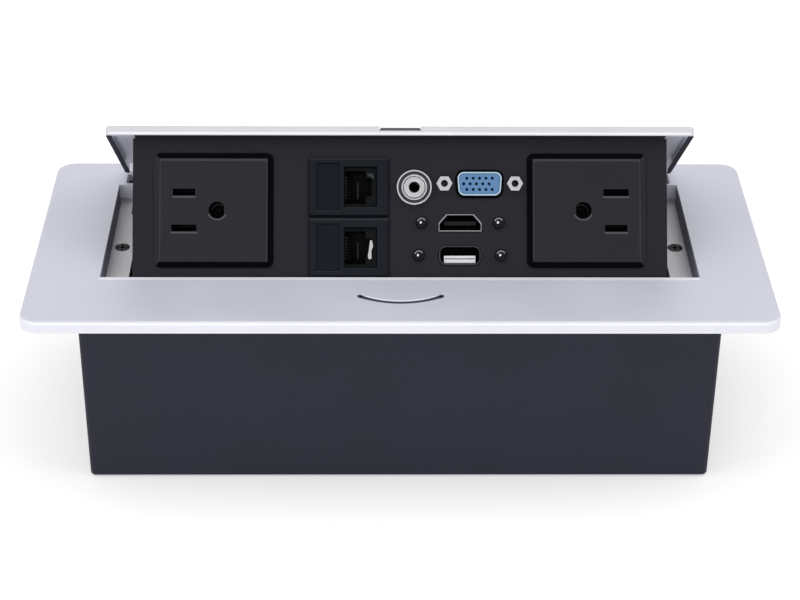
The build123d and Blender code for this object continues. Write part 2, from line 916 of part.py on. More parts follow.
latch_base_top = latch_base + latch_base_thick
latch_seats = [
    Plane(origin=(side * latch_screw_half, latch_y, latch_base_top)) for side in sides.values()
]
build_screws(
    "latch_screws",
    latch_seats,
    cover_head_radius,
    cover_head_height,
    cover_screw_radius,
    latch_base_thick + box_wall,
)


# Cable grommets in the rear wall and earth stud on the floor
def build_grommet(name, side):
    """Rubber ring with a flange on each face of the wall"""
    middle = Plane(origin=(side * grommet_x_half, box_rear - box_wall, grommet_height), z_dir=(0, 1, 0))
    with BuildPart() as grommet:
        with BuildSketch(middle.offset(-grommet_lip)):
            Circle(grommet_flange)
        extrude(amount=grommet_lip)
        with BuildSketch(middle):
            Circle(grommet_hole - pin_play)
        extrude(amount=box_wall)
        with BuildSketch(middle.offset(box_wall)):
            Circle(grommet_flange)
        extrude(amount=grommet_lip)
        with BuildSketch(middle.offset(-grommet_lip)):
            Circle(grommet_bore)
        extrude(amount=2 * grommet_lip + box_wall, mode=Mode.SUBTRACT)
    grommet.part.label = name
    export_step(grommet.part, f"parts/{name}.step")


for name, side in sides.items():
    build_grommet(f"cable_grommet_{name}", side)

with BuildPart() as earth_stud:
    stud_plane = Plane(origin=(earth_stud_x, earth_stud_y, box_wall))
    with BuildSketch(stud_plane):
        Circle(earth_flange_radius)
    extrude(amount=earth_flange_thick)
    with BuildSketch(stud_plane):
        Circle(earth_stud_radius)
    extrude(amount=earth_stud_length)
    with BuildSketch(stud_plane.offset(earth_flange_thick)):
        RegularPolygon(earth_nut_across / 2, side_count=6, major_radius=False)
    extrude(amount=earth_nut_thick)
earth_stud.part.label = "earth_stud"
export_step(earth_stud.part, "parts/earth_stud.step")

# Lid: a shallow pan with a bevelled rear edge
lid_rear = lid_front + lid_width
arm_pad_back = lid_width - lid_bevel - lid_rim / 2
arm_pad_front = -arm_front_reach - arm_pad_margin - lid_front
arm_pad_half = (arm_pad_inner + arm_pad_outer) / 2
arm_pad_mid = (arm_pad_front + arm_pad_back) / 2
back_axis = Axis(pivot, lid_back)

with BuildPart() as lid:
    with BuildSketch(lid_plane):
        with Locations((0, lid_width / 2)):
            Rectangle(lid_length, lid_width)
    extrude(amount=-lid_thick)
    with BuildSketch(hinge_side.offset(-lid_half)):
        with BuildLine():
            Polyline(
                (lid_rear, hinge_drop - lid_feather),
                (lid_rear - lid_bevel, lid_under),
                (lid_rear, lid_under),
                close=True,
            )
        make_face()
    extrude(amount=lid_length, mode=Mode.SUBTRACT)
    fillet(lid.faces().sort_by(back_axis)[0].edges().filter_by(Axis(pivot, lid_up)), lid_corner)
    chamfer(front_edges(lid, Axis(pivot, lid_up)).sort_by(back_axis)[:-1], lid_edge)
    with BuildSketch(lid_plane.offset(-lid_thick)):
        with Locations((0, (lid_width - lid_bevel) / 2)):
            Rectangle(lid_length - 2 * lid_rim, lid_width - lid_bevel - 2 * lid_rim)
    extrude(amount=lid_thick - lid_skin, mode=Mode.SUBTRACT)
    with BuildSketch(lid_plane.offset(-lid_thick)):
        with Locations((0, flange_pad_back / 2)):
            Rectangle(2 * (panel_half - flange_pad_inset), flange_pad_back - lid_rim)
        for side in sides.values():
            with Locations((side * arm_pad_half, arm_pad_mid)):
                Rectangle(arm_pad_outer - arm_pad_inner, arm_pad_back - arm_pad_front)
    extrude(amount=lid_thick - lid_skin)
    with BuildSketch(lid_plane):
        Rectangle(notch_length, 2 * notch_reach)
    extrude(amount=-notch_depth, mode=Mode.SUBTRACT)
    with BuildSketch(lid_plane.offset(-lid_thick)):
        for side in sides.values():
            for half in lid_screw_halves:
                with Locations((side * half, lid_screw_place)):
                    Circle(screw_hole)
            for place in arm_screw_places:
                with Locations((side * arm_tab_half, place - lid_front)):
                    Circle(screw_hole)
    extrude(amount=lid_thick - lid_screw_cover, mode=Mode.SUBTRACT)
lid.part.label = "lid"
export_step(lid.part, "parts/lid.step")


# Hinge arms
def build_arm(name, side, hinge_hole):
    """Flat arm with a boss on the hinge axis and a tab under the lid"""
    offset = arm_boss_radius * sin(radians(45))
    tab_mid = -(arm_front_reach + arm_rear_reach) / 2 - lid_front
    with BuildPart() as arm:
        with BuildSketch(hinge_side.offset(side * arm_inner_half)):
            with BuildLine():
                Polyline(
                    (-arm_front_reach, lid_under),
                    (-arm_rear_reach, lid_under),
                    (offset, offset),
                    (-offset, -offset),
                    (-arm_rear_reach, lid_under - arm_strap),
                    (-arm_front_reach, lid_under - arm_strap),
                    close=True,
                )
            make_face()
            Circle(arm_boss_radius)
            Circle(hinge_hole, mode=Mode.SUBTRACT)
        extrude(amount=side * arm_thick)
        with BuildSketch(lid_plane.offset(-lid_thick)):
            with Locations((side * arm_tab_half, tab_mid)):
                Rectangle(arm_outer_half - arm_tab_inner, arm_tab_length)
        extrude(amount=-arm_tab_thick)
        with BuildSketch(lid_plane.offset(-lid_thick)):
            for place in arm_screw_places:
                with Locations((side * arm_tab_half, place - lid_front)):
                    Circle(screw_hole)
        extrude(amount=-arm_tab_thick, mode=Mode.SUBTRACT)
    arm.part.label = name
    export_step(arm.part, f"parts/{name}.step")


build_arm("hinge_arm_left", -1, bush_hole)
build_arm("hinge_arm_right", 1, pin_hole)


def lid_point(x, place, depth):
    """World point at x, back from the lid's front edge and below its top"""
    return lid_plane.from_local_coords(Vector(x, place, -depth))


lid_down = lid_up * -1
flange_seats = [
    Plane(origin=lid_point(side * half, lid_screw_place, lid_thick + panel_sheet), z_dir=lid_down)
    for side in sides.values()
    for half in lid_screw_halves
]
arm_seats = [
    Plane(
        origin=lid_point(side * arm_tab_half, place - lid_front, lid_thick + arm_tab_thick),
        z_dir=lid_down,
    )
    for side in sides.values()
    for place in arm_screw_places
]
lid_screw_reach = lid_thick - lid_screw_cover + panel_sheet - fit_gap
build_screws(
    "lid_screws", flange_seats + arm_seats, pan_head_radius, pan_head_height, screw_radius, lid_screw_reach
)


# Socket panel and everything mounted on it
def at(x, drop, depth=0):
    """World point on the panel: x, down from its top, behind its face"""
    return panel_plane.from_local_coords(Vector(x, -drop, -depth))


def d_outline(top, bottom, height, corner):
    """Trapezium with rounded corners, its longer side up"""
    with BuildSketch() as outline:
        with BuildLine():
            Polyline(
                (-top / 2, height / 2),
                (top / 2, height / 2),
                (bottom / 2, -height / 2),
                (-bottom / 2, -height / 2),
                close=True,
            )
        make_face()
        fillet(outline.vertices(), corner)
    return outline.sketch


def video_outline(grow):
    """Outline of the 15-way socket, grown by a margin"""
    top = video_length + 2 * grow
    bottom = video_length - 2 * video_taper + 2 * grow
    return d_outline(top, bottom, video_height + 2 * grow, video_round + grow)


def digital_outline(grow):
    """Outline of the digital socket with its two upper corners cut"""
    half = digital_length / 2 + grow
    up = digital_height / 2 + grow
    with BuildSketch() as outline:
        with BuildLine():
            Polyline(
                (-half, -up),
                (half, -up),
                (half, up - digital_chamfer_y),
                (half - digital_chamfer_x, up),
                (-half + digital_chamfer_x, up),
                (-half, up - digital_chamfer_y),
                close=True,
            )
        make_face()
    return outline.sketch


def usb_outline(grow):
    """Outline of the wide socket with rounded ends, grown by a margin"""
    with BuildSketch() as outline:
        RectangleRounded(usb_length + 2 * grow, usb_height + 2 * grow, usb_round + grow)
    return outline.sketch


plug_length = outlet_length - 2 * plug_inset
plug_height = outlet_height - 2 * plug_inset
data_plug_length = data_length - 2 * data_plug_inset
data_plug_height = data_height - 2 * data_plug_inset
screw_sets = [(digital_x, digital_drop, digital_screw_half), (usb_x, usb_drop, usb_screw_half)]
port_screw_places = [(x + side * half, drop) for x, drop, half in screw_sets for side in sides.values()]
port_hole = port_shank_radius + pin_play
nut_places = [(video_x + side * nut_spacing / 2, video_drop) for side in sides.values()]
stud_hole = stud_radius + pin_play

with BuildPart() as face_panel:
    with BuildSketch(panel_plane.offset(-panel_sheet)):
        with Locations((0, -panel_height / 2)):
            Rectangle(2 * panel_half, panel_height)
    extrude(amount=panel_sheet)
    with BuildSketch(panel_plane.offset(-return_depth)):
        with Locations((0, -panel_height / 2)):
            Rectangle(2 * panel_half, panel_height)
        with Locations((0, (panel_sheet - panel_height) / 2 + overrun / 2)):
            Rectangle(
                2 * (panel_half - panel_sheet), panel_height - panel_sheet + overrun, mode=Mode.SUBTRACT
            )
    extrude(amount=return_depth)
    with BuildSketch(lid_plane.offset(-lid_thick - fit_gap)):
        with Locations((0, lid_width / 2)):
            Rectangle(lid_length, 2 * lid_width)
    extrude(amount=lid_width, mode=Mode.SUBTRACT)
    with BuildSketch(lid_plane.offset(-lid_thick)):
        with Locations((0, lid_overhang + (panel_sheet + top_flange_depth) / 2)):
            Rectangle(2 * panel_half, top_flange_depth - panel_sheet / 2)
    extrude(amount=-panel_sheet)
    with BuildSketch(panel_plane):
        for side in sides.values():
            with Locations((side * outlet_x, -outlet_drop)):
                Rectangle(plug_length + 2 * fit_gap, plug_height + 2 * fit_gap)
        for drop in data_drops.values():
            with Locations((data_x, -drop)):
                Rectangle(data_plug_length + 2 * fit_gap, data_plug_height + 2 * fit_gap)
        with Locations((audio_x, -audio_drop)):
            Circle(audio_bush_radius + pin_play)
        with Locations((video_x, -video_drop)):
            add(video_outline(video_cut_gap))
        with Locations((digital_x, -digital_drop)):
            add(digital_outline(fit_gap))
        with Locations((usb_x, -usb_drop)):
            add(usb_outline(fit_gap))
        for x, drop in nut_places:
            with Locations((x, -drop)):
                Circle(stud_hole)
        for x, drop in port_screw_places:
            with Locations((x, -drop)):
                Circle(port_hole)
    extrude(amount=-2 * panel_sheet, mode=Mode.SUBTRACT)
    with BuildSketch(lid_plane.offset(-lid_thick)):
        for side in sides.values():
            for half in lid_screw_halves:
                with Locations((side * half, lid_screw_place)):
                    Circle(screw_hole)
    extrude(amount=-panel_sheet, mode=Mode.SUBTRACT)
    with BuildSketch(Plane(origin=panel_origin, x_dir=panel_out * -1, z_dir=(1, 0, 0))):
        for drop in cover_screw_drops:
            with Locations((cover_screw_depth, -drop)):
                Circle(cover_screw_hole)
    extrude(amount=panel_half + overrun, both=True, mode=Mode.SUBTRACT)
face_panel.part.label = "face_panel"
export_step(face_panel.part, "parts/face_panel.step")

# Back cover, open at the front, with two cable holes
cover_half = panel_half - panel_sheet - fit_gap
cover_foot = panel_height - panel_sheet - fit_gap
fall = tan(radians(panel_lean))
panel_side = Plane(origin=panel_origin, x_dir=panel_out * -1, z_dir=(1, 0, 0))


def cover_profile(inset, front):
    """Side view of the cover, inset by the wall and started at a depth"""
    top = -cover_drop - inset
    back = cover_depth - inset
    with BuildSketch() as profile:
        with BuildLine():
            Polyline(
                (front, top - front * fall),
                (back, top - back * fall),
                (back, -cover_foot + inset),
                (front, -cover_foot + inset),
                close=True,
            )
        make_face()
    return profile.sketch


with BuildPart() as back_cover:
    with BuildSketch(panel_side.offset(-cover_half)):
        add(cover_profile(0, panel_sheet))
    extrude(amount=2 * cover_half)
    with BuildSketch(panel_side.offset(cover_wall - cover_half)):
        add(cover_profile(cover_wall, 0))
    extrude(amount=2 * (cover_half - cover_wall), mode=Mode.SUBTRACT)
    with BuildSketch(panel_plane.offset(-cover_depth)):
        for side in sides.values():
            with Locations((side * cable_hole_half, -outlet_drop)):
                Circle(cable_hole_radius)
    extrude(amount=2 * cover_wall, mode=Mode.SUBTRACT)
    with BuildSketch(panel_side):
        for drop in cover_screw_drops:
            with Locations((cover_screw_depth, -drop)):
                Circle(cover_screw_hole)
    extrude(amount=panel_half + overrun, both=True, mode=Mode.SUBTRACT)
back_cover.part.label = "back_cover"
export_step(back_cover.part, "parts/back_cover.step")

cover_seats = [
    Plane(origin=at(side * panel_half, drop, cover_screw_depth), z_dir=(side, 0, 0))
    for side in sides.values()
    for drop in cover_screw_drops
]
build_screws(
    "cover_screws",
    cover_seats,
    cover_head_radius,
    cover_head_height,
    cover_screw_radius,
    cover_screw_length,
)

with BuildPart() as striker_plate:
    with BuildSketch(panel_plane.offset(-striker_setback)):
        with Locations((0, -panel_height - striker_thick / 2)):
            Rectangle(striker_length, striker_thick)
    extrude(amount=-striker_width)
striker_plate.part.label = "striker_plate"
export_step(striker_plate.part, "parts/striker_plate.step")


# Power outlets: the right one is the left one turned half round
def outlet_spot(side, x, up):
    """Place on the panel of a point measured on the left-hand outlet"""
    turn = -side
    return (side * outlet_x + turn * x, -outlet_drop + turn * up)


def build_outlet_face(name, side):
    """Bevelled face with two blade slots and a D-shaped earth hole"""
    turn = 0 if side < 0 else 180
    with BuildPart() as face:
        with BuildSketch(panel_plane):
            with Locations(outlet_spot(side, 0, 0)):
                RectangleRounded(outlet_length, outlet_height, outlet_corner)
        extrude(amount=outlet_proud)
        top = face.faces().sort_by(panel_axis)[-1]
        chamfer(top.edges(), outlet_bevel, outlet_bevel_drop, reference=top)
        with BuildSketch(panel_plane):
            with Locations(outlet_spot(side, 0, 0)):
                Rectangle(plug_length, plug_height)
        extrude(amount=-plug_depth)
        with BuildSketch(panel_plane.offset(-plug_depth)):
            with Locations(outlet_spot(side, -blade_offset, blade_spacing / 2)):
                Rectangle(line_length, blade_gap)
            with Locations(outlet_spot(side, -blade_offset, -blade_spacing / 2)):
                Rectangle(neutral_length, blade_gap)
            with Locations(Location(Vector(*outlet_spot(side, earth_offset, 0)), turn)):
                add(earth_outline())
        extrude(amount=plug_depth + outlet_proud, mode=Mode.SUBTRACT)
    face.part.label = name
    export_step(face.part, f"parts/{name}.step")


def earth_outline():
    """Round hole with a flat on its right-hand side"""
    with BuildSketch() as outline:
        Circle(earth_radius)
        with Locations((earth_flat + earth_radius, 0)):
            Rectangle(2 * earth_radius, 2 * earth_radius, mode=Mode.SUBTRACT)
    return outline.sketch


def build_outlet_body(name, side):
    """Block behind the face with a pocket for each contact"""
    with BuildPart() as body:
        with BuildSketch(panel_plane.offset(-plug_depth)):
            with Locations(outlet_spot(side, 0, 0)):
                Rectangle(outlet_length - 2 * body_inset, outlet_height - 2 * body_inset)
        extrude(amount=-body_depth)
        with BuildSketch(panel_plane.offset(-plug_depth)):
            for step in sides.values():
                with Locations(outlet_spot(side, -blade_offset, step * blade_spacing / 2)):
                    Rectangle(clip_width + 2 * pocket_gap, clip_height + 2 * pocket_gap)
            with Locations(outlet_spot(side, earth_offset, 0)):
                Circle(earth_sleeve_radius + earth_sleeve_wall + pocket_gap)
        extrude(amount=-pocket_depth, mode=Mode.SUBTRACT)
    body.part.label = name
    export_step(body.part, f"parts/{name}.step")


def build_contacts(name, side):
    """Two slotted clips and an earth sleeve standing in their pockets"""
    with BuildPart() as contacts:
        with BuildSketch(panel_plane.offset(-plug_depth - pocket_depth)):
            for step in sides.values():
                with Locations(outlet_spot(side, -blade_offset, step * blade_spacing / 2)):
                    Rectangle(clip_width, clip_height)
            with Locations(outlet_spot(side, earth_offset, 0)):
                Circle(earth_sleeve_radius + earth_sleeve_wall)
        extrude(amount=pocket_depth - contact_setback)
        with BuildSketch(panel_plane.offset(-plug_depth - pocket_depth + clip_web)):
            for step in sides.values():
                with Locations(outlet_spot(side, -blade_offset, step * blade_spacing / 2)):
                    Rectangle(clip_width, clip_slit)
            with Locations(outlet_spot(side, earth_offset, 0)):
                Circle(earth_sleeve_radius)
        extrude(amount=pocket_depth, mode=Mode.SUBTRACT)
    contacts.part.label = name
    export_step(contacts.part, f"parts/{name}.step")


for name, side in sides.items():
    build_outlet_face(f"outlet_face_{name}", side)
    build_outlet_body(f"outlet_body_{name}", side)
    build_contacts(f"outlet_contacts_{name}", side)


# Data modules
jack_face = data_proud - jack_setback
cavity_left = cavity_x - cavity_length / 2


def build_data_frame(name, drop):
    """Bevelled frame with a blank label field and a window"""
    with BuildPart() as frame:
        with BuildSketch(panel_plane):
            with Locations((data_x, -drop)):
                Rectangle(data_length, data_height)
        extrude(amount=data_proud)
        chamfer(front_edges(frame, panel_axis), data_bevel)
        with BuildSketch(panel_plane):
            with Locations((data_x, -drop)):
                Rectangle(data_plug_length, data_plug_height)
        extrude(amount=-data_plug_depth)
        with BuildSketch(panel_plane.offset(data_proud)):
            with Locations((label_x, -drop)):
                Rectangle(label_length, label_height)
        extrude(amount=-label_depth, mode=Mode.SUBTRACT)
        with BuildSketch(panel_plane.offset(data_proud)):
            with Locations((window_x, -drop)):
                Rectangle(window_length, window_height)
        extrude(amount=-data_proud - data_plug_depth, mode=Mode.SUBTRACT)
    frame.part.label = name
    export_step(frame.part, f"parts/{name}.step")


def build_data_jack(name, drop):
    """Jack whose nose fills the window, with a cavity and a latch slot"""
    with BuildPart() as jack:
        with BuildSketch(panel_plane.offset(jack_face)):
            with Locations((window_x, -drop)):
                Rectangle(window_length - fit_gap, window_height - fit_gap)
        extrude(amount=-jack_face - data_plug_depth)
        with BuildSketch(panel_plane.offset(-data_plug_depth)):
            with Locations((window_x, -drop)):
                Rectangle(jack_length, jack_height)
        extrude(amount=-jack_depth)
        with BuildSketch(panel_plane.offset(jack_face)):
            with Locations((cavity_x, -drop)):
                Rectangle(cavity_length, cavity_height)
            with Locations((cavity_x + (cavity_length + latch_slot_length) / 2, -drop)):
                Rectangle(latch_slot_length, latch_slot_height)
        extrude(amount=-cavity_depth, mode=Mode.SUBTRACT)
    jack.part.label = name
    export_step(jack.part, f"parts/{name}.step")


def build_jack_contacts(name, drop):
    """Eight sprung wires that lean into the cavity from its left wall"""
    with BuildPart() as wires:
        for index in range(wire_count):
            up = (index - (wire_count - 1) / 2) * wire_pitch - wire_size / 2 - drop
            edge = Plane(
                origin=panel_plane.from_local_coords(Vector(cavity_left, up, jack_face)),
                x_dir=(1, 0, 0),
                z_dir=panel_plane.y_dir,
            )
            with BuildSketch(edge):
                with BuildLine():
                    Polyline(
                        (0, wire_root),
                        (wire_size, wire_root),
                        (wire_size + wire_lean, wire_root + wire_reach),
                        (wire_lean, wire_root + wire_reach),
                        close=True,
                    )
                make_face()
            extrude(amount=wire_size)
    wires.part.label = name
    export_step(wires.part, f"parts/{name}.step")


for name, drop in data_drops.items():
    build_data_frame(f"data_frame_{name}", drop)
    build_data_jack(f"data_jack_{name}", drop)
    build_jack_contacts(f"jack_contacts_{name}", drop)

# Audio jack
with BuildPart() as audio_nut:
    with BuildSketch(panel_plane):
        with Locations((audio_x, -audio_drop)):
            Circle(audio_nut_radius)
            Circle(audio_bush_radius + pin_play, mode=Mode.SUBTRACT)
    extrude(amount=audio_nut_height)
    with BuildSketch(panel_plane.offset(audio_nut_height)):
        with Locations((audio_x, -audio_drop)):
            Circle(audio_groove_outer)
            Circle(audio_groove_inner, mode=Mode.SUBTRACT)
    extrude(amount=-audio_groove_depth, mode=Mode.SUBTRACT)
audio_nut.part.label = "audio_nut"
export_step(audio_nut.part, "parts/audio_nut.step")

with BuildPart() as audio_bush:
    with BuildSketch(panel_plane.offset(-panel_sheet)):
        with Locations((audio_x, -audio_drop)):
            Circle(audio_bush_radius)
            Circle(audio_bore, mode=Mode.SUBTRACT)
    extrude(amount=panel_sheet + audio_bush_proud)
    chamfer(front_edges(audio_bush, panel_axis), audio_dish)
audio_bush.part.label = "audio_bush"
export_step(audio_bush.part, "parts/audio_bush.step")

with BuildPart() as audio_body:
    with BuildSketch(panel_plane.offset(-panel_sheet)):
        with Locations((audio_x, -audio_drop)):
            Rectangle(audio_body_size, audio_body_size)
    extrude(amount=-audio_body_depth)
    with BuildSketch(panel_plane.offset(-panel_sheet)):
        with Locations((audio_x, -audio_drop)):
            Circle(audio_bore)
    extrude(amount=-audio_bore_depth, mode=Mode.SUBTRACT)
audio_body.part.label = "audio_body"
export_step(audio_body.part, "parts/audio_body.step")

# Video socket: flanged shell, pin block, body and two hex nuts
flange_back = panel_sheet + video_flange_thick

with BuildPart() as video_shell:
    with BuildSketch(panel_plane.offset(-flange_back)):
        with Locations((video_x, -video_drop)):
            Rectangle(video_flange_length, video_flange_height)
            add(video_outline(-video_wall), mode=Mode.SUBTRACT)
        for x, drop in nut_places:
            with Locations((x, -drop)):
                Circle(stud_hole, mode=Mode.SUBTRACT)
    extrude(amount=video_flange_thick)
    with BuildSketch(panel_plane.offset(-flange_back)):
        with Locations((video_x, -video_drop)):
            add(video_outline(0))
            add(video_outline(-video_wall), mode=Mode.SUBTRACT)
    extrude(amount=flange_back + video_proud)
video_shell.part.label = "video_shell"
export_step(video_shell.part, "parts/video_shell.step")

with BuildPart() as video_insert:
    with BuildSketch(panel_plane.offset(video_proud - video_insert_setback)):
        with Locations((video_x, -video_drop)):
            add(video_outline(-video_wall - pin_play))
    extrude(amount=-flange_back - video_proud + video_insert_setback)
    with BuildSketch(panel_plane.offset(video_proud - video_insert_setback)):
        for row in (-1, 0, 1):
            shift = -video_row_shift_share * video_pin_pitch if row == 0 else 0
            with Locations((video_x + shift, row * video_row_pitch - video_drop)):
                with GridLocations(video_pin_pitch, video_row_pitch, video_row_pins, 1):
                    Circle(video_pin_radius)
    extrude(amount=-video_pin_depth, mode=Mode.SUBTRACT)
video_insert.part.label = "video_insert"
export_step(video_insert.part, "parts/video_insert.step")

with BuildPart() as video_nuts:
    for x, drop in nut_places:
        with BuildSketch(panel_plane):
            with Locations((x, -drop)):
                RegularPolygon(nut_across / 2, side_count=6, major_radius=False)
        extrude(amount=nut_height)
        with BuildSketch(panel_plane):
            with Locations((x, -drop)):
                Circle(stud_radius)
        extrude(amount=-stud_length)
        with BuildSketch(panel_plane.offset(nut_height)):
            with Locations((x, -drop)):
                Circle(nut_bore)
        extrude(amount=-nut_bore_depth, mode=Mode.SUBTRACT)
video_nuts.part.label = "video_nuts"
export_step(video_nuts.part, "parts/video_nuts.step")

with BuildPart() as video_body:
    with BuildSketch(panel_plane.offset(-flange_back)):
        with Locations((video_x, -video_drop)):
            Rectangle(video_flange_length, video_flange_height)
        for x, drop in nut_places:
            with Locations((x, -drop)):
                Circle(stud_hole, mode=Mode.SUBTRACT)
    extrude(amount=-video_body_depth)
video_body.part.label = "video_body"
export_step(video_body.part, "parts/video_body.step")


# Digital and wide sockets share one kind of shell and body
def build_shell(name, x, drop, outline, wall, proud, depth):
    """Thin shell, open at the front and closed at the back"""
    with BuildPart() as shell:
        with BuildSketch(panel_plane.offset(proud)):
            with Locations((x, -drop)):
                add(outline(0))
        extrude(amount=-proud - depth)
        with BuildSketch(panel_plane.offset(proud)):
            with Locations((x, -drop)):
                add(outline(-wall))
        extrude(amount=wall - proud - depth, mode=Mode.SUBTRACT)
    shell.part.label = name
    export_step(shell.part, f"parts/{name}.step")


def build_tongue(name, x, drop, length, height, back, reach):
    """Contact tongue that stands out from the back of its shell"""
    with BuildPart() as tongue:
        with BuildSketch(panel_plane.offset(-back)):
            with Locations((x, -drop)):
                Rectangle(length, height)
        extrude(amount=reach)
    tongue.part.label = name
    export_step(tongue.part, f"parts/{name}.step")


def build_port_body(name, x, drop, outline, length, height, half):
    """Block round a shell, with an ear at each end for its screw"""
    with BuildPart() as body:
        with BuildSketch(panel_plane.offset(-panel_sheet)):
            with Locations((x, -drop)):
                Rectangle(port_ear_length, port_ear_height)
            for side in sides.values():
                with Locations((x + side * half, -drop)):
                    Circle(port_hole, mode=Mode.SUBTRACT)
        extrude(amount=-port_ear_thick)
        with BuildSketch(panel_plane.offset(-panel_sheet)):
            with Locations((x, -drop)):
                Rectangle(length + port_block_margin, max(height + port_block_margin / 2, port_ear_height))
        extrude(amount=-port_body_depth)
        with BuildSketch(panel_plane.offset(-panel_sheet)):
            with Locations((x, -drop)):
                add(outline(pin_play))
        extrude(amount=-port_body_depth, mode=Mode.SUBTRACT)
    body.part.label = name
    export_step(body.part, f"parts/{name}.step")


build_shell(
    "digital_shell",
    digital_x,
    digital_drop,
    digital_outline,
    digital_wall,
    digital_proud,
    digital_depth,
)
build_tongue(
    "digital_tongue",
    digital_x,
    digital_drop,
    digital_tongue_length,
    digital_tongue_height,
    digital_depth - digital_wall,
    digital_tongue_reach,
)
build_port_body(
    "digital_body",
    digital_x,
    digital_drop,
    digital_outline,
    digital_length,
    digital_height,
    digital_screw_half,
)
build_shell("usb_shell", usb_x, usb_drop, usb_outline, usb_wall, usb_proud, usb_depth)
build_tongue(
    "usb_tongue",
    usb_x,
    usb_drop + usb_tongue_drop,
    usb_tongue_length,
    usb_tongue_height,
    usb_depth - usb_wall,
    usb_tongue_reach,
)
build_port_body("usb_body", usb_x, usb_drop, usb_outline, usb_length, usb_height, usb_screw_half)

port_seats = [Plane(origin=at(x, drop), z_dir=panel_out) for x, drop in port_screw_places]
build_screws(
    "port_screws", port_seats, port_head_radius, port_head_height, port_shank_radius, port_shank_length
)

# Terminal block on the inside of the cover's back wall
terminal_back = cover_depth - cover_wall
terminal_ways_x = [(way - (terminal_ways - 1) / 2) * terminal_pitch for way in range(terminal_ways)]

with BuildPart() as terminal_block:
    with BuildSketch(panel_plane.offset(-terminal_back)):
        with Locations((0, -terminal_drop)):
            Rectangle(terminal_length, terminal_height)
    extrude(amount=terminal_depth)
    with BuildSketch(panel_plane.offset(terminal_depth - terminal_back)):
        for x in terminal_ways_x:
            with Locations((x, -terminal_drop)):
                Circle(terminal_hole_radius)
    extrude(amount=-terminal_depth / 2, mode=Mode.SUBTRACT)
    with BuildSketch(panel_plane.offset(-terminal_back)):
        for x in terminal_ways_x:
            with Locations((x, -terminal_drop)):
                Circle(screw_hole)
    extrude(amount=terminal_depth, mode=Mode.SUBTRACT)
terminal_block.part.label = "terminal_block"
export_step(terminal_block.part, "parts/terminal_block.step")

terminal_seats = [
    Plane(origin=at(x, terminal_drop, terminal_back - terminal_depth / 2), z_dir=panel_out)
    for x in terminal_ways_x
]
build_screws(
    "terminal_screws",
    terminal_seats,
    terminal_hole_radius - fit_gap,
    pan_head_height,
    screw_radius,
    terminal_depth / 3,
)
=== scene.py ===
import json
import math

import bmesh
import bpy
from mathutils import Matrix, Vector


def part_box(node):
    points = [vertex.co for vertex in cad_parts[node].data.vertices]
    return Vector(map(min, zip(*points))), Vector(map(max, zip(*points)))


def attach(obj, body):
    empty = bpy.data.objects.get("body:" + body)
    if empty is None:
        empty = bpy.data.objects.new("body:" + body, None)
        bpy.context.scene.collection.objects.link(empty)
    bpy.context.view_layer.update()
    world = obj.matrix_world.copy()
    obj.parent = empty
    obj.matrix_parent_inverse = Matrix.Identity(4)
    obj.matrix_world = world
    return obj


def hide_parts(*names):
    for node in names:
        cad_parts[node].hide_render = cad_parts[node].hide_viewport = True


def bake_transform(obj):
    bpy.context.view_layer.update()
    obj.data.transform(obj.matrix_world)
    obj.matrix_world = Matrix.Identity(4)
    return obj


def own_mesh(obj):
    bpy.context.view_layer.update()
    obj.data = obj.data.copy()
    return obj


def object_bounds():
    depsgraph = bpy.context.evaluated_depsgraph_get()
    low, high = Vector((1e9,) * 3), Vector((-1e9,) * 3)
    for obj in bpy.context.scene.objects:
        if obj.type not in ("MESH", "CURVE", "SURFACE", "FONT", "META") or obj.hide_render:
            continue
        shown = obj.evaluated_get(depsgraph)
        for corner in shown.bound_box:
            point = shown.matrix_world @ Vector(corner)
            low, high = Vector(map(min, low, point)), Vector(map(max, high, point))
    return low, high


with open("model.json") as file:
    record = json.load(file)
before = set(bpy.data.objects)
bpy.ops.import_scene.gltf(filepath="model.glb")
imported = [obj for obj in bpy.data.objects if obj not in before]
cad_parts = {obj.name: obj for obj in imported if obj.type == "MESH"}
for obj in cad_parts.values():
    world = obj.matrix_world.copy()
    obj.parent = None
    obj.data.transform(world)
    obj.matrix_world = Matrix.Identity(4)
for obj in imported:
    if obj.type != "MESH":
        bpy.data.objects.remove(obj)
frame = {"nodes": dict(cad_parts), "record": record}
cad_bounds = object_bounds()
NODES = frame["nodes"]
MOUNTS = {mount["name"]: mount for mount in frame["record"]["mounts"]}
JOINTS = {joint["name"]: joint for joint in frame["record"]["behaviour"]["joints"]}
MM = 0.001
ACROSS = Vector((1, 0, 0))
BACK = Vector((0, 1, 0))
UP = Vector((0, 0, 1))

# Camera, fitted to the photograph
CAMERA_PLACE = Vector((-9.27, -651.57, 459.55)) * MM
PITCH = math.radians(32.329)
YAW = math.radians(0.847)
ROLL = math.radians(0.481)
LENS = 93.48
SENSOR = 36.0
NEAREST = 0.01


def add_camera():
    """Camera at the photograph's place, looking along its fitted direction"""
    forward = Vector(
        (math.sin(YAW) * math.cos(PITCH), math.cos(YAW) * math.cos(PITCH), -math.sin(PITCH))
    )
    right = Vector((math.cos(YAW), -math.sin(YAW), 0))
    up = right.cross(forward)
    rolled_right = right * math.cos(ROLL) + up * math.sin(ROLL)
    rolled_up = up * math.cos(ROLL) - right * math.sin(ROLL)
    data = bpy.data.cameras.new("camera")
    data.lens = LENS
    data.sensor_width = SENSOR
    data.clip_start = NEAREST
    camera = bpy.data.objects.new("camera", data)
    bpy.context.scene.collection.objects.link(camera)
    turn = Matrix((rolled_right, rolled_up, -forward)).transposed()
    camera.matrix_world = Matrix.Translation(CAMERA_PLACE) @ turn.to_4x4()
    bpy.context.scene.camera = camera


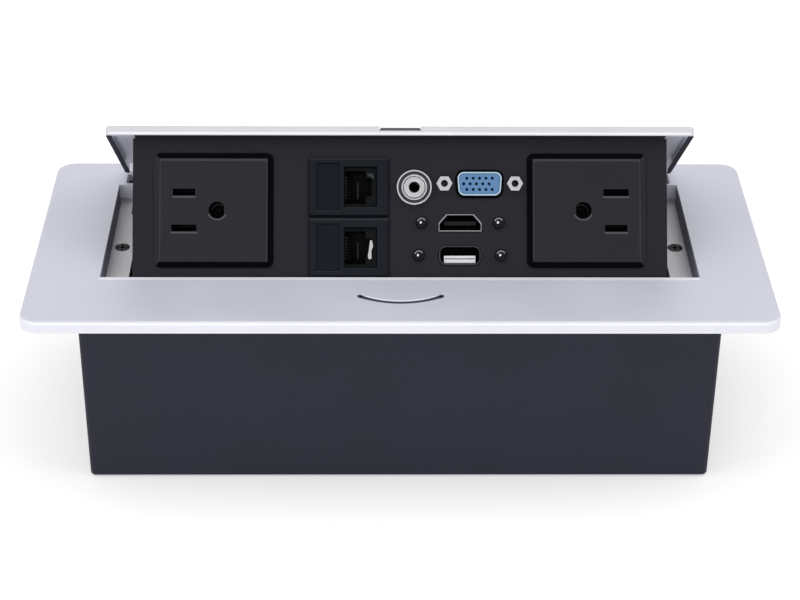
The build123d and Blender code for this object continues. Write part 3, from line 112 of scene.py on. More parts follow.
# Materials: two layers of noise, broad patches and fine grain, vary colour, gloss and relief
BROAD_SCALE = 26.0
BROAD_DETAIL = 5.0
FINE_DETAIL = 3.0
FINE_SHARE = 0.45
TINT_START = 0.45
GLOSS_START = 0.3
GLOSS_END = 0.7
ROUGH_VARY = 0.06
LEAST_ROUGH = 0.02
COAT_ROUGH = 0.25
RELIEF_DEPTH = 0.05 * MM


def linear(colour):
    """Linear colour of an sRGB colour given from 0 to 255"""
    out = []
    for value in colour:
        share = value / 255
        out.append(share / 12.92 if share <= 0.04045 else ((share + 0.055) / 1.055) ** 2.4)
    return out


def empty_tree(owner):
    """The node tree of a material or world, with nothing in it"""
    owner.use_nodes = True
    owner.node_tree.nodes.clear()
    return owner.node_tree


def add_node(tree, kind, values=None, operation=None):
    """A shader node with some of its inputs set"""
    node = tree.nodes.new(kind)
    if operation:
        node.operation = operation
    for key, value in (values or {}).items():
        node.inputs[key].default_value = value
    return node


def surface(
    name, colour, rough, metal=0.0, grain=1800, bump=0.05, vary=0.06, coat=0.0, sheen=0.0, shine=0.5
):
    """Painted, moulded or plated surface with fine grain and soft variation"""
    material = bpy.data.materials.new(name)
    tree = empty_tree(material)
    link = tree.links.new
    output = add_node(tree, "ShaderNodeOutputMaterial")
    finish = {
        "Metallic": metal,
        "Coat Weight": coat,
        "Coat Roughness": COAT_ROUGH,
        "Sheen Weight": sheen,
        "Specular IOR Level": shine,
    }
    shader = add_node(tree, "ShaderNodeBsdfPrincipled", finish)
    link(shader.outputs["BSDF"], output.inputs["Surface"])
    place = add_node(tree, "ShaderNodeTexCoord").outputs["Object"]
    broad = add_node(tree, "ShaderNodeTexNoise", {"Scale": BROAD_SCALE, "Detail": BROAD_DETAIL})
    fine = add_node(tree, "ShaderNodeTexNoise", {"Scale": grain, "Detail": FINE_DETAIL})
    link(place, broad.inputs["Vector"])
    link(place, fine.inputs["Vector"])
    both = add_node(tree, "ShaderNodeMath", {1: FINE_SHARE}, "MULTIPLY_ADD")
    link(fine.outputs["Fac"], both.inputs[0])
    link(broad.outputs["Fac"], both.inputs[2])
    tint = add_node(tree, "ShaderNodeValToRGB")
    dim, lit = tint.color_ramp.elements
    dim.position = TINT_START
    dim.color = [part * (1 - vary) for part in linear(colour)] + [1]
    lit.color = [min(1, part * (1 + vary)) for part in linear(colour)] + [1]
    link(both.outputs["Value"], tint.inputs["Fac"])
    link(tint.outputs["Color"], shader.inputs["Base Color"])
    band = {
        "From Min": GLOSS_START,
        "From Max": GLOSS_END,
        "To Min": max(LEAST_ROUGH, rough - ROUGH_VARY),
        "To Max": min(1, rough + ROUGH_VARY),
    }
    gloss = add_node(tree, "ShaderNodeMapRange", band)
    link(broad.outputs["Fac"], gloss.inputs["Value"])
    link(gloss.outputs["Result"], shader.inputs["Roughness"])
    relief = add_node(tree, "ShaderNodeBump", {"Strength": bump, "Distance": RELIEF_DEPTH})
    link(fine.outputs["Fac"], relief.inputs["Height"])
    link(relief.outputs["Normal"], shader.inputs["Normal"])
    return material


def painted(name, colour, rough, bump=0.05, vary=0.03, **more):
    """Smooth paint on sheet metal"""
    return surface(name, colour, rough, bump=bump, vary=vary, **more)


def moulded(name, colour, rough, bump=0.05, vary=0.05, grain=3200, **more):
    """Plastic with the fine texture of its mould"""
    return surface(name, colour, rough, bump=bump, vary=vary, grain=grain, **more)


def plated(name, colour, rough, metal=1.0, vary=0.08, grain=900, bump=0.03):
    """Bare, plated or blackened metal"""
    return surface(name, colour, rough, metal=metal, vary=vary, grain=grain, bump=bump)


def rubber(name, colour, rough, bump=0.25, vary=0.12, grain=1500, shine=0.15, sheen=0.0):
    """Rubber or foam"""
    return surface(
        name, colour, rough, bump=bump, vary=vary, grain=grain, shine=shine, sheen=sheen
    )


SILVER = painted("silver_paint", (198, 199, 211), 0.42, metal=0.15, bump=0.12, coat=0.1)
LID_EDGE = painted("lid_edge", (196, 195, 199), 0.42, metal=0.15, bump=0.12, coat=0.1)
# Painted highlight: the lit outer edge of the plate, the front lip of the opening and the lid's
# front foot
PAINTED_HIGHLIGHT = painted("bright_edge", (222, 222, 231), 0.35, metal=0.1, vary=0.02, coat=0.1)
# Painted highlight along the lit side of the finger groove
GLINT = painted("polished_paint", (230, 230, 238), 0.35, bump=0.03, vary=0.02, coat=0.2)
GROOVE = painted("groove_shade", (60, 60, 72), 0.5, vary=0.1, shine=0.2)
# Painted shade in the lid's finger notch
NOTCH = painted("notch_lining", (88, 88, 92), 0.5, vary=0.05, shine=0.2)
# Painted light: much lighter than the plate's silver, to make up for the shade the brackets and
# ledges sit in
BRACKET_WITH_PAINTED_LIGHT = painted("bracket_paint", (250, 250, 255), 0.4, bump=0.12, vary=0.04)
BOX = painted("box_powder_coat", (37, 38, 49), 0.5, bump=0.2, vary=0.08, grain=2600, shine=0.15)
PANEL = painted(
    "panel_powder_coat", (32, 31, 37), 0.55, bump=0.12, vary=0.07, grain=2600, shine=0.08
)
OUTLET = moulded("outlet_plastic", (26, 25, 31), 0.5, bump=0.1, shine=0.15)
# Painted highlight on the upper rounding and the edge lines of the outlets' faces
OUTLET_HIGHLIGHT = moulded("outlet_rounding", (46, 46, 51), 0.45, shine=0.2)
# Painted highlight on the lit lower lips of the outlets' holes
OUTLET_LIP_HIGHLIGHT = moulded("outlet_lip", (66, 66, 70), 0.45, shine=0.2)
# Painted shade on the steep surround of the outlets' faces
OUTLET_SHADE = moulded("outlet_surround", (5, 5, 8), 0.7, vary=0.1, shine=0.02)
DATA = moulded("data_plastic", (17, 20, 27), 0.45, bump=0.08, shine=0.08)
# Painted highlight on the upward-facing edges of the data modules
DATA_HIGHLIGHT = moulded("data_rounding", (40, 44, 50), 0.45, shine=0.1)
LABEL = moulded("label_plastic", (14, 18, 26), 0.5, bump=0.02, vary=0.1, grain=900, shine=0.06)
# Faint painted glint on the clip in the upper data window
FAINT_CLIP_GLINT = moulded("latch_plastic", (46, 50, 52), 0.5, bump=0.03, vary=0.1, grain=900, shine=0.1)
# Black jack plastic; also painted shade in the socket shells, the video flange and low data edges
JACK_AND_SHADE = moulded("jack_plastic", (7, 9, 11), 0.5, vary=0.06, shine=0.06)
DARK = moulded("dark_moulding", (20, 20, 22), 0.55, vary=0.06, shine=0.12)
BLUE = moulded("blue_moulding", (84, 120, 160), 0.5, grain=2600, shine=0.2)
WHITE = moulded("white_moulding", (206, 205, 209), 0.4, bump=0.03, vary=0.03, grain=2600)
NYLON = moulded("natural_nylon", (218, 216, 206), 0.5, vary=0.06, grain=1500)
# Bright plating, also the painted glints on the port screws and in the lower data window
CHROME_AND_GLINT = plated("bright_plating", (184, 182, 184), 0.25)
RIM = plated("rim_plating", (160, 182, 196), 0.35, metal=0.9)
# Smoked plating of the USB shell, also painted shade in the video nuts' holes and the audio nut's
# groove
SMOKED_AND_SHADE = plated("smoked_plating", (58, 59, 64), 0.35)
# Digital shell plating; also painted highlight on screw rims and a painted shade line on the USB
# tongue
SHELL_AND_PAINTED_LIGHT = plated("shell_plating", (114, 116, 121), 0.35)
STEEL = plated("plated_steel", (150, 150, 152), 0.32, vary=0.1)
BRASS = plated("bare_brass", (198, 160, 92), 0.3, vary=0.1)
# Contact metal darkened almost to black: painted shade deep in the outlets' holes and the jacks
CONTACT_SHADE = plated("dull_contact", (26, 27, 27), 0.6, metal=0.5, vary=0.15)
BLACKENED = plated(
    "blackened_steel", (20, 20, 23), 0.2, metal=0.8, vary=0.06, grain=1200, bump=0.05
)
SPRING = plated("spring_steel", (120, 120, 124), 0.35, vary=0.06, bump=0.04)
RUBBER = rubber("black_rubber", (22, 22, 24), 0.7, bump=0.2, vary=0.06, shine=0.2, sheen=0.1)
# Painted shade on the side walls of the opening
WALL_SHADE_STRIP = rubber("wall_strip", (124, 124, 140), 0.6)
# Painted shade under the lid's side and front rims
SHADE_STRIP = rubber("seal_strip", (30, 31, 42), 0.6)

# CAD nodes that get rounded edges: material, material slot and width of the rounding
FINISH = {
    "bezel": (SILVER, "bezel_silver", 0.35),
    "lid": (SILVER, "lid_silver", 0.2),
    "hinge_bracket_left": (BRACKET_WITH_PAINTED_LIGHT, "bracket_silver", 0.3),
    "hinge_bracket_right": (BRACKET_WITH_PAINTED_LIGHT, "bracket_silver", 0.3),
    "hinge_arm_left": (BRACKET_WITH_PAINTED_LIGHT, "bracket_silver", 0.2),
    "hinge_arm_right": (BRACKET_WITH_PAINTED_LIGHT, "bracket_silver", 0.2),
    "box_shell": (BOX, "box_paint", 0.2),
    "face_panel": (PANEL, "panel_paint", 0.25),
    "back_cover": (PANEL, "panel_paint", 0.3),
    "outlet_face_left": (OUTLET, "outlet_plastic", 0.55),
    "outlet_face_right": (OUTLET, "outlet_plastic", 0.55),
    "data_frame_upper": (DATA, "data_plastic", 0.4),
    "data_frame_lower": (DATA, "data_plastic", 0.4),
    "data_jack_upper": (JACK_AND_SHADE, "jack_plastic", 0.15),
    "data_jack_lower": (JACK_AND_SHADE, "jack_plastic", 0.15),
    "audio_nut": (CHROME_AND_GLINT, "socket_chrome", 0.15),
    "audio_bush": (CHROME_AND_GLINT, "socket_chrome", 0.08),
    "video_shell": (RIM, "socket_chrome", 0.18),
    "video_insert": (BLUE, "insert_blue", 0.05),
    "video_nuts": (CHROME_AND_GLINT, "socket_chrome", 0.15),
    "digital_shell": (SHELL_AND_PAINTED_LIGHT, "socket_chrome", 0.12),
    "usb_shell": (SMOKED_AND_SHADE, "socket_chrome", 0.12),
    "digital_tongue": (DARK, "tongue_black", 0.1),
    "usb_tongue": (WHITE, "tongue_white", 0.15),
    "port_screws": (BLACKENED, "screw_black", 0.1),
    "ledge_screws": (BLACKENED, "screw_steel", 0.1),
}

# CAD nodes that keep their own meshes
PLAIN = {
    STEEL: [
        "bracket_screws",
        "lid_screws",
        "cover_screws",
        "terminal_screws",
        "latch_screws",
        "damper_screw",
        "striker_plate",
        "hinge_pin_left",
        "damper_shaft",
    ],
    BRASS: ["earth_stud"],
    CONTACT_SHADE: [
        "outlet_contacts_left",
        "outlet_contacts_right",
        "jack_contacts_upper",
        "jack_contacts_lower",
    ],
    CHROME_AND_GLINT: ["latch_magnet"],
    NYLON: ["hinge_bush_left", "hinge_bush_right"],
    RUBBER: ["cable_grommet_left", "cable_grommet_right"],
    DARK: [
        "latch_body",
        "latch_plunger",
        "damper_body",
        "terminal_block",
        "outlet_body_left",
        "outlet_body_right",
        "video_body",
        "digital_body",
        "usb_body",
        "audio_body",
    ],
}


def reaches(name, way, start):
    """How near and how far a CAD node reaches from a point, in millimetres"""
    found = [(vert.co - start).dot(way) / MM for vert in NODES[name].data.vertices]
    return min(found), max(found)


# The panel's face: its outward and upward directions, and a point on it behind the left outlet
PANEL_OUT = Vector(MOUNTS["outlet_left"]["axis"])
PANEL_UP = Vector((0, PANEL_OUT.z, -PANEL_OUT.y))
OUTLET_POINT = Vector(MOUNTS["outlet_left"]["pos_m"])
PANEL_POINT = OUTLET_POINT + PANEL_OUT * reaches("face_panel", PANEL_OUT, OUTLET_POINT)[1] * MM

# The open lid: its directions backward and downward, and how far its edges lie from the hinge
LID_ANGLE = math.radians(JOINTS["popup_hinge"]["range_deg"][1])
LID_BACK = Vector((0, math.cos(LID_ANGLE), -math.sin(LID_ANGLE)))
LID_DOWN = Vector((0, -math.sin(LID_ANGLE), -math.cos(LID_ANGLE)))
HINGE = Vector(JOINTS["popup_hinge"]["pos_m"])
LID_FRONT = reaches("lid", LID_BACK, HINGE)[0]
LID_UNDER = reaches("lid", LID_DOWN, HINGE)[1]
LID_HALF = reaches("lid", ACROSS, HINGE)[1]

# The plate: its upper face, and the opening that the shut lid fills
LID_SIDE_GAP = 2.0
LID_FRONT_GAP = 0.5
PLATE_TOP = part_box("bezel")[1].z / MM
OPENING_HALF = LID_HALF + LID_SIDE_GAP
OPENING_FRONT = HINGE.y / MM + LID_FRONT - LID_FRONT_GAP

# Zones of a node with more than one finish: what tells their faces apart
FLAT_LEAN = 6
ROUNDED_LEAN = 28
SHADED_RISE = -0.05
DATA_RISE = 0.2
RIM_LEAN = 40
PLATE_EDGE = 2.0
PLATE_EDGE_RISE = 0.75
LID_FORWARD = 0.6
LID_EDGE_DEPTH = 1.0
NOTCH_DEPTHS = (2.5, 7.0)
NOTCH_HALF = 7.6
NUT_HALF = 12.5
NUT_BORE = 1.3
RING_INNER = 4.5
RING_OUTER = 5.7


def panel_depth(point):
    """How far a point lies behind the panel's face"""
    return (PANEL_POINT - point).dot(PANEL_OUT)


def off_axis(point, middle):
    """How far a point lies from a line square to the panel, in millimetres"""
    reach = point - middle
    return (reach - PANEL_OUT * reach.dot(PANEL_OUT)).length / MM


def panel_lean(face):
    """Angle between a face and the panel, in degrees"""
    return math.degrees(face.normal.angle(PANEL_OUT))


def shell_zone(face, corners):
    """Faces of a socket's shell that lie behind the panel, painted in shade"""
    return 1 if panel_depth(face.center) > 0 else 0


def nut_zone(face, corners):
    """Faces of the threaded holes in the video socket's nuts, painted in shade"""
    middle = Vector(MOUNTS["video"]["pos_m"])
    spans = [
        max(off_axis(corner, middle + ACROSS * side * NUT_HALF * MM) for corner in corners)
        for side in (-1, 1)
    ]
    return 1 if min(spans) < NUT_BORE else 0


def ring_zone(face, corners):
    """Faces of the groove round the audio socket's nut, painted in shade"""
    spans = [off_axis(corner, Vector(MOUNTS["audio"]["pos_m"])) for corner in corners]
    return 1 if min(spans) > RING_INNER and max(spans) < RING_OUTER else 0


def outlet_zone(face, corners):
    """Flat face, upper rounding painted as highlight, and surround painted as shade, of an outlet's
    moulding
    """
    lean = panel_lean(face)
    rise = face.normal.dot(PANEL_UP)
    if lean < FLAT_LEAN:
        return 0
    if lean < ROUNDED_LEAN:
        return 1 if rise > SHADED_RISE else 0
    outer = face.normal.x * face.center.x > 0 and abs(face.normal.x) > abs(rise)
    return 0 if outer else 2


def data_zone(face, corners):
    """Flat face, and upper and lower edges painted as highlight and shade, of a data module"""
    rise = face.normal.dot(PANEL_UP)
    return 1 if rise > DATA_RISE else 2 if rise < -DATA_RISE else 0


def rim_zone(face, corners):
    """Bright front of the video socket's shell, and its sides and flange painted in shade"""
    return 0 if panel_lean(face) < RIM_LEAN and panel_depth(face.center) < 0 else 1


def outer_gap(point):
    """How far a point lies inside the plate's outline, in millimetres"""
    low, high = cad_bounds
    return min(point.x - low[0], high[0] - point.x, point.y - low[1], high[1] - point.y) / MM


def plate_zone(face, corners):
    """Upright outer edge of the plate, painted lighter as a highlight"""
    upright = abs(face.normal.z) < PLATE_EDGE_RISE
    return 1 if upright and min(outer_gap(corner) for corner in corners) < PLATE_EDGE else 0


def lid_zone(face, corners):
    """Back wall of the finger notch, painted in shade, and the lid's front edge"""
    depth = (face.center - HINGE).dot(LID_BACK) / MM - LID_FRONT
    if -face.normal.dot(LID_BACK) < LID_FORWARD:
        return 0
    if NOTCH_DEPTHS[0] < depth < NOTCH_DEPTHS[1] and abs(face.center.x) < NOTCH_HALF * MM:
        return 1
    return 2 if depth < LID_EDGE_DEPTH else 0


# Nodes with several finishes: further materials, and what picks one from a face and its corners
ZONES = {
    "digital_shell": ([JACK_AND_SHADE], shell_zone),
    "usb_shell": ([JACK_AND_SHADE], shell_zone),
    "video_nuts": ([SMOKED_AND_SHADE], nut_zone),
    "video_shell": ([JACK_AND_SHADE], rim_zone),
    "audio_nut": ([SMOKED_AND_SHADE], ring_zone),
    "bezel": ([PAINTED_HIGHLIGHT], plate_zone),
    "lid": ([NOTCH, LID_EDGE], lid_zone),
    "data_frame_upper": ([DATA_HIGHLIGHT, JACK_AND_SHADE], data_zone),
    "data_frame_lower": ([DATA_HIGHLIGHT, JACK_AND_SHADE], data_zone),
    "outlet_face_left": ([OUTLET_HIGHLIGHT, OUTLET_SHADE], outlet_zone),
    "outlet_face_right": ([OUTLET_HIGHLIGHT, OUTLET_SHADE], outlet_zone),
}

# Rounding and shading of meshes
WELD = 0.0005 * MM
FLAT_TURN = math.radians(0.6)
SHARP_TURN = math.radians(29)
SMOOTH_TURN = math.radians(38)
NODE_STEPS = 3
TRIM_STEPS = 2
BEND = 0.5
FACE_WEIGHT = 100


def body_of_node(name):
    """The body that a CAD node belongs to"""
    for body, members in frame["record"]["behaviour"]["bodies"].items():
        if name in members:
            return body
    return None


def welded_copy(name):
    """A bmesh of a CAD node's mesh, with doubled points joined"""
    mesh = bmesh.new()
    mesh.from_mesh(NODES[name].data)
    bmesh.ops.remove_doubles(mesh, verts=mesh.verts, dist=WELD)
    return mesh


def round_edges(mesh, edges, width, steps):
    """Rounds some edges of a bmesh"""
    bmesh.ops.bevel(
        mesh,
        geom=edges,
        offset=width * MM,
        offset_type="OFFSET",
        segments=steps,
        profile=BEND,
        affect="EDGES",
        clamp_overlap=True,
    )


def is_sharp(edge, width):
    """Whether an edge is sharp enough, and long enough, to be rounded"""
    if len(edge.link_faces) != 2:
        return False
    return edge.calc_face_angle(0) > SHARP_TURN and edge.calc_length() > width * MM


def paint_zones(name, data):
    """Gives the faces of a node's copy their further materials"""
    further, choose = ZONES[name]
    for extra in further:
        data.materials.append(extra)
    for face in data.polygons:
        corners = [data.vertices[index].co for index in face.vertices]
        face.material_index = choose(face, corners)


def smooth_object(name, data):
    """An object that is shaded smooth where it is round and even where it is flat"""
    for face in data.polygons:
        face.use_smooth = True
    data.set_sharp_from_angle(angle=SMOOTH_TURN)
    piece = bpy.data.objects.new(name, data)
    bpy.context.scene.collection.objects.link(piece)
    even = piece.modifiers.new("even", "WEIGHTED_NORMAL")
    even.weight = FACE_WEIGHT
    even.keep_sharp = True
    return piece


def dress(name, material, slot, edge, rides=True):
    """A copy of a CAD node with its edges rounded, standing for the node"""
    mesh = welded_copy(name)
    bmesh.ops.dissolve_limit(
        mesh,
        angle_limit=FLAT_TURN,
        verts=mesh.verts,
        edges=mesh.edges,
        use_dissolve_boundaries=False,
    )
    round_edges(mesh, [line for line in mesh.edges if is_sharp(line, edge)], edge, NODE_STEPS)
    data = bpy.data.meshes.new(name + "_dressed")
    mesh.to_mesh(data)
    mesh.free()
    data.materials.clear()
    data.materials.append(material)
    if name in ZONES:
        paint_zones(name, data)
    piece = smooth_object(name + "_dressed", data)
    if rides:
        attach(piece, body_of_node(name))
    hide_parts(name)
    return piece


def repaint(name, material):
    """Gives a CAD node its finish"""
    node = NODES[name]
    node.data.materials.clear()
    node.data.materials.append(material)


for name, (material, slot, edge) in FINISH.items():
    dress(name, material, slot, edge)
for material, names in PLAIN.items():
    for name in names:
        repaint(name, material)

# Springs: the rounding of their wire
LATCH_SPRING_EDGE = 0.04
TORSION_SPRING_EDGE = 0.05


def press_spring():
    """The latch's spring, dressed, with a mesh of its own"""
    spring = dress("latch_spring", SPRING, "spring_steel", LATCH_SPRING_EDGE)
    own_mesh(spring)


def wind_spring(name):
    """One torsion spring, dressed, left on no body, with its place baked into its mesh"""
    coil = dress(name, SPRING, "spring_steel", TORSION_SPRING_EDGE, rides=False)
    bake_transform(coil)


press_spring()
wind_spring("torsion_spring_left")
wind_spring("torsion_spring_right")

# Thin trim that the solids leave out. Its planes: directions across, up and outward
PANEL_PLANE = (ACROSS, PANEL_UP, PANEL_OUT)
PLATE_PLANE = (ACROSS, BACK, UP)
LID_PLANE = (ACROSS, LID_BACK, LID_DOWN)
NOTCH_PLANE = (ACROSS, LID_BACK, -LID_DOWN)
LID_FRONT_PLANE = (ACROSS, -LID_DOWN, -LID_BACK)
FILM = 0.04
FILM_EDGE = FILM / 4
DISC_CORNERS = 20
CRESCENT_STEPS = 16
SIDES = {"left": -1, "right": 1}


def add_piece(name, mesh, body, material):
    """A piece from a bmesh, smooth where it is round"""
    data = bpy.data.meshes.new(name)
    mesh.to_mesh(data)
    mesh.free()
    data.materials.append(material)
    piece = smooth_object(name, data)
    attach(piece, body)
    return piece


def prism(outline, start, plane, thick, edge):
    """A flat outline in millimetres, pushed out from its plane, with rounded edges"""
    across, up, out = plane
    mesh = bmesh.new()
    low = [mesh.verts.new(start + (across * x + up * y) * MM) for x, y in outline]
    high = [mesh.verts.new(start + (across * x + up * y + out * thick) * MM) for x, y in outline]
    count = len(outline)
    mesh.faces.new(high)
    mesh.faces.new(low[::-1])
    for index in range(count):
        after = (index + 1) % count
        mesh.faces.new((low[index], low[after], high[after], high[index]))
    bmesh.ops.recalc_face_normals(mesh, faces=mesh.faces)
    round_edges(mesh, list(mesh.edges), edge, TRIM_STEPS)
    return mesh


def film(outline, start, plane):
    """A line of light or shade, hardly thicker than paint"""
    return prism(outline, start, plane, FILM, FILM_EDGE)


def rectangle(width, height):
    """Corners of a rectangle about its middle"""
    x, y = width / 2, height / 2
    return [(-x, -y), (x, -y), (x, y), (-x, y)]


def disc(radius):
    """Corners of a round outline about its middle"""
    turns = [math.tau * index / DISC_CORNERS for index in range(DISC_CORNERS)]
    return [(radius * math.cos(turn), radius * math.sin(turn)) for turn in turns]


def crescent(inner, outer, first, last):
    """Outline of part of a ring, between two angles in degrees"""
    step = (last - first) / CRESCENT_STEPS
    angles = [math.radians(first + step * index) for index in range(CRESCENT_STEPS + 1)]
    ends = [(outer * math.cos(angle), outer * math.sin(angle)) for angle in angles]
    return ends + [(inner * math.cos(angle), inner * math.sin(angle)) for angle in reversed(angles)]


# Blank label plates in the data modules
LABEL_OFFSET = -9.7
LABEL_LIFT = 0.8
LABEL_SIZE = (7.9, 16.5)
LABEL_THICK = 0.25
TRIM_EDGE = 0.08

# Outlines of what shows in each window, from its middle: a bent clip shaped as a painted glint, and
# a dim bar
CLIP_LIFT = 0.05
CLIP_THICK = 0.2
WINDOW_BAR = [(0.6, -4.1), (1.1, -4.1), (1.1, 1.9), (0.6, 1.9)]
LOWER_CLIP_GLINT = [(5.3, 2.85), (5.95, 2.55), (6.3, 0.55), (5.65, -1.15), (5.8, -3.75)]
LOWER_CLIP_GLINT += [(4.8, -4.05), (4.4, -3.05), (4.75, -0.95), (4.9, 0.55)]
UPPER_CLIP_GLINT = [(4.2, 4.9), (6.2, 5.0), (6.6, 3.6), (6.3, 2.6), (5.6, 3.7), (4.4, 3.9)]
CLIP_GLINTS = {"upper": (UPPER_CLIP_GLINT, FAINT_CLIP_GLINT), "lower": (LOWER_CLIP_GLINT, CHROME_AND_GLINT)}


def add_data_trim(row):
    """Label plate, and what shows in the window, of one data module"""
    mount = Vector(MOUNTS[f"data_{row}"]["pos_m"])
    start = mount + (ACROSS * LABEL_OFFSET + PANEL_OUT * LABEL_LIFT) * MM
    label = prism(rectangle(*LABEL_SIZE), start, PANEL_PLANE, LABEL_THICK, TRIM_EDGE)
    add_piece(f"label_plate_{row}", label, "popup", LABEL)
    clip, finish = CLIP_GLINTS[row]
    foot = mount + PANEL_OUT * CLIP_LIFT * MM
    for kind, outline, material in (("clip", clip, finish), ("bar", WINDOW_BAR, DARK)):
        mesh = prism(outline, foot, PANEL_PLANE, CLIP_THICK, TRIM_EDGE)
        add_piece(f"latch_{kind}_{row}", mesh, "popup", material)


for row in CLIP_GLINTS:
    add_data_trim(row)

# Dark strips of painted shade under the lid's rims and on the side walls of the opening
SIDE_WIDTH = 1.9
SIDE_LENGTH = 58.6
SIDE_INSET = 1.0
SHADE_STRIP_THICK = 0.25
SHADE_STRIP_EDGE = 0.06
FRONT_INSET = 0.25
FRONT_WIDTH = 4.3
FRONT_HALF = 93.9
WALL_SIZE = (65.7, 7.0)
WALL_INSET = 0.2
WALL_DROP = 1.0
WALL_THICK = 0.2


def lid_place(back, down):
    """A point in the middle of the lid, by its distances from the hinge"""
    return HINGE + (LID_BACK * back + LID_DOWN * down) * MM


def add_lid_shade(name, side):
    """Strip of painted shade under one side rim of the lid"""
    start = lid_place(LID_FRONT + SIDE_INSET + SIDE_LENGTH / 2, LID_UNDER)
    start = start + ACROSS * side * (LID_HALF - SIDE_INSET) * MM
    strip = prism(rectangle(SIDE_WIDTH, SIDE_LENGTH), start, LID_PLANE, SHADE_STRIP_THICK, TRIM_EDGE)
    add_piece(f"lid_seal_{name}", strip, "popup", SHADE_STRIP)


def add_wall_shade(name, side):
    """Strip of painted shade on one side wall of the opening"""
    length, height = WALL_SIZE
    back = OPENING_FRONT + WALL_INSET + length / 2
    middle = Vector((side * OPENING_HALF, back, PLATE_TOP - WALL_DROP - height / 2)) * MM
    inward = (BACK, UP, ACROSS * -side)
    strip = prism(rectangle(length, height), middle, inward, WALL_THICK, SHADE_STRIP_EDGE)
    add_piece(f"wall_seal_{name}", strip, "housing", WALL_SHADE_STRIP)


def add_front_shade():
    """Strip of painted shade under the lid's front rim"""
    start = lid_place(LID_FRONT + FRONT_INSET + FRONT_WIDTH / 2, LID_UNDER)
    strip = prism(rectangle(2 * FRONT_HALF, FRONT_WIDTH), start, LID_PLANE, SHADE_STRIP_THICK, SHADE_STRIP_EDGE)
    add_piece("lid_seal_front", strip, "popup", SHADE_STRIP)


for name, side in SIDES.items():
    add_lid_shade(name, side)
    add_wall_shade(name, side)
add_front_shade()

# Lines of light and shade round the finger groove, and a painted highlight on the front lip of the
# opening
GROOVE_HALF = 14.25
GROOVE_SAG = 4.1
GROOVE_AHEAD = 12.6
GROOVE_FRONT = OPENING_FRONT - GROOVE_AHEAD
GROOVE_STEPS = 32
GROOVE_RADIUS = (GROOVE_HALF**2 + GROOVE_SAG**2) / (2 * GROOVE_SAG)
GROOVE_FLARE = 4
GROOVE_END = 0.95
GROOVE_END_BACK = 0.1
LIP_WIDTH = 1.75
LIP_GAP = 0.05


def add_arc(name, material, shift, width, end_width, reach):
    """Thin curved strip that follows the groove, with its own width at the ends"""
    swing = math.asin(GROOVE_HALF / GROOVE_RADIUS) * reach
    centre = GROOVE_FRONT - GROOVE_SAG + GROOVE_RADIUS
    inner = []
    outer = []
    for index in range(GROOVE_STEPS + 1):
        share = 2 * index / GROOVE_STEPS - 1
        angle = swing * share
        half = (width + (end_width - width) * share**GROOVE_FLARE) / 2
        for ring, radius in (
            (inner, GROOVE_RADIUS - shift - half),
            (outer, GROOVE_RADIUS - shift + half),
        ):
            ring.append((radius * math.sin(angle), centre - radius * math.cos(angle)))
    strip = film(inner + outer[::-1], Vector((0, 0, PLATE_TOP)) * MM, PLATE_PLANE)
    add_piece(name, strip, "housing", material)


def add_groove_end(name, side):
    """Dark round end of the groove"""
    place = Vector((side * GROOVE_HALF, GROOVE_FRONT + GROOVE_END_BACK, PLATE_TOP)) * MM
    end = film(disc(GROOVE_END), place, PLATE_PLANE)
    add_piece(f"groove_end_{name}", end, "housing", GROOVE)


def add_opening_lip():
    """Painted highlight along the edge of the plate in front of the opening"""
    place = Vector((0, OPENING_FRONT - LIP_GAP - LIP_WIDTH / 2, PLATE_TOP)) * MM
    lip = film(rectangle(2 * OPENING_HALF, LIP_WIDTH), place, PLATE_PLANE)
    add_piece("opening_lip", lip, "housing", PAINTED_HIGHLIGHT)


add_arc("groove_line", GROOVE, shift=0.0, width=1.3, end_width=1.9, reach=1.0)
add_arc("groove_light", GLINT, shift=1.15, width=0.85, end_width=0.5, reach=0.9)
for name, side in SIDES.items():
    add_groove_end(name, side)
add_opening_lip()

# Lit upper and side edges of the outlets' flat faces
LINE_HALF_WIDTH = 19.0
LINE_HALF_HEIGHT = 18.2
LINE_TOP = 0.8
LINE_SIDE = 0.3

# Lit lower lips of the outlets' holes, measured on the left outlet: offset, rise, length
SLOTS = {"upper": (-10.4, 6.35, 8.3), "lower": (-10.4, -6.35, 9.3)}
SLOT_DROP = 1.65
SLOT_LIP = 0.65
EARTH_OFFSET = 1.3
EARTH_LIP = {"inner": 3.1, "outer": 3.65, "first": 205, "last": 335}


def add_outlet_line(name):
    """Thin line round the top and the sides of one outlet's face"""
    wide, high = LINE_HALF_WIDTH, LINE_HALF_HEIGHT
    inner = [(-wide + LINE_SIDE, -high), (-wide + LINE_SIDE, high - LINE_TOP)]
    inner += [(wide - LINE_SIDE, high - LINE_TOP), (wide - LINE_SIDE, -high)]
    outline = [(-wide, -high)] + inner + [(wide, -high), (wide, high), (-wide, high)]
    line = film(outline, Vector(MOUNTS[f"outlet_{name}"]["pos_m"]), PANEL_PLANE)
    add_piece(f"outlet_line_{name}", line, "popup", OUTLET_HIGHLIGHT)


def add_outlet_lips(name, turn):
    """Lips under the two blade slots and the earth hole; the right outlet is turned half round"""
    middle = Vector(MOUNTS[f"outlet_{name}"]["pos_m"])
    for row, (offset, rise, length) in SLOTS.items():
        start = middle + (ACROSS * offset * turn + PANEL_UP * (rise * turn - SLOT_DROP)) * MM
        lip = film(rectangle(length, SLOT_LIP), start, PANEL_PLANE)
        add_piece(f"slot_lip_{name}_{row}", lip, "popup", OUTLET_LIP_HIGHLIGHT)
    lip = film(crescent(**EARTH_LIP), middle + ACROSS * EARTH_OFFSET * turn * MM, PANEL_PLANE)
    add_piece(f"earth_lip_{name}", lip, "popup", OUTLET_LIP_HIGHLIGHT)


for name, side in SIDES.items():
    add_outlet_line(name)
    add_outlet_lips(name, -side)

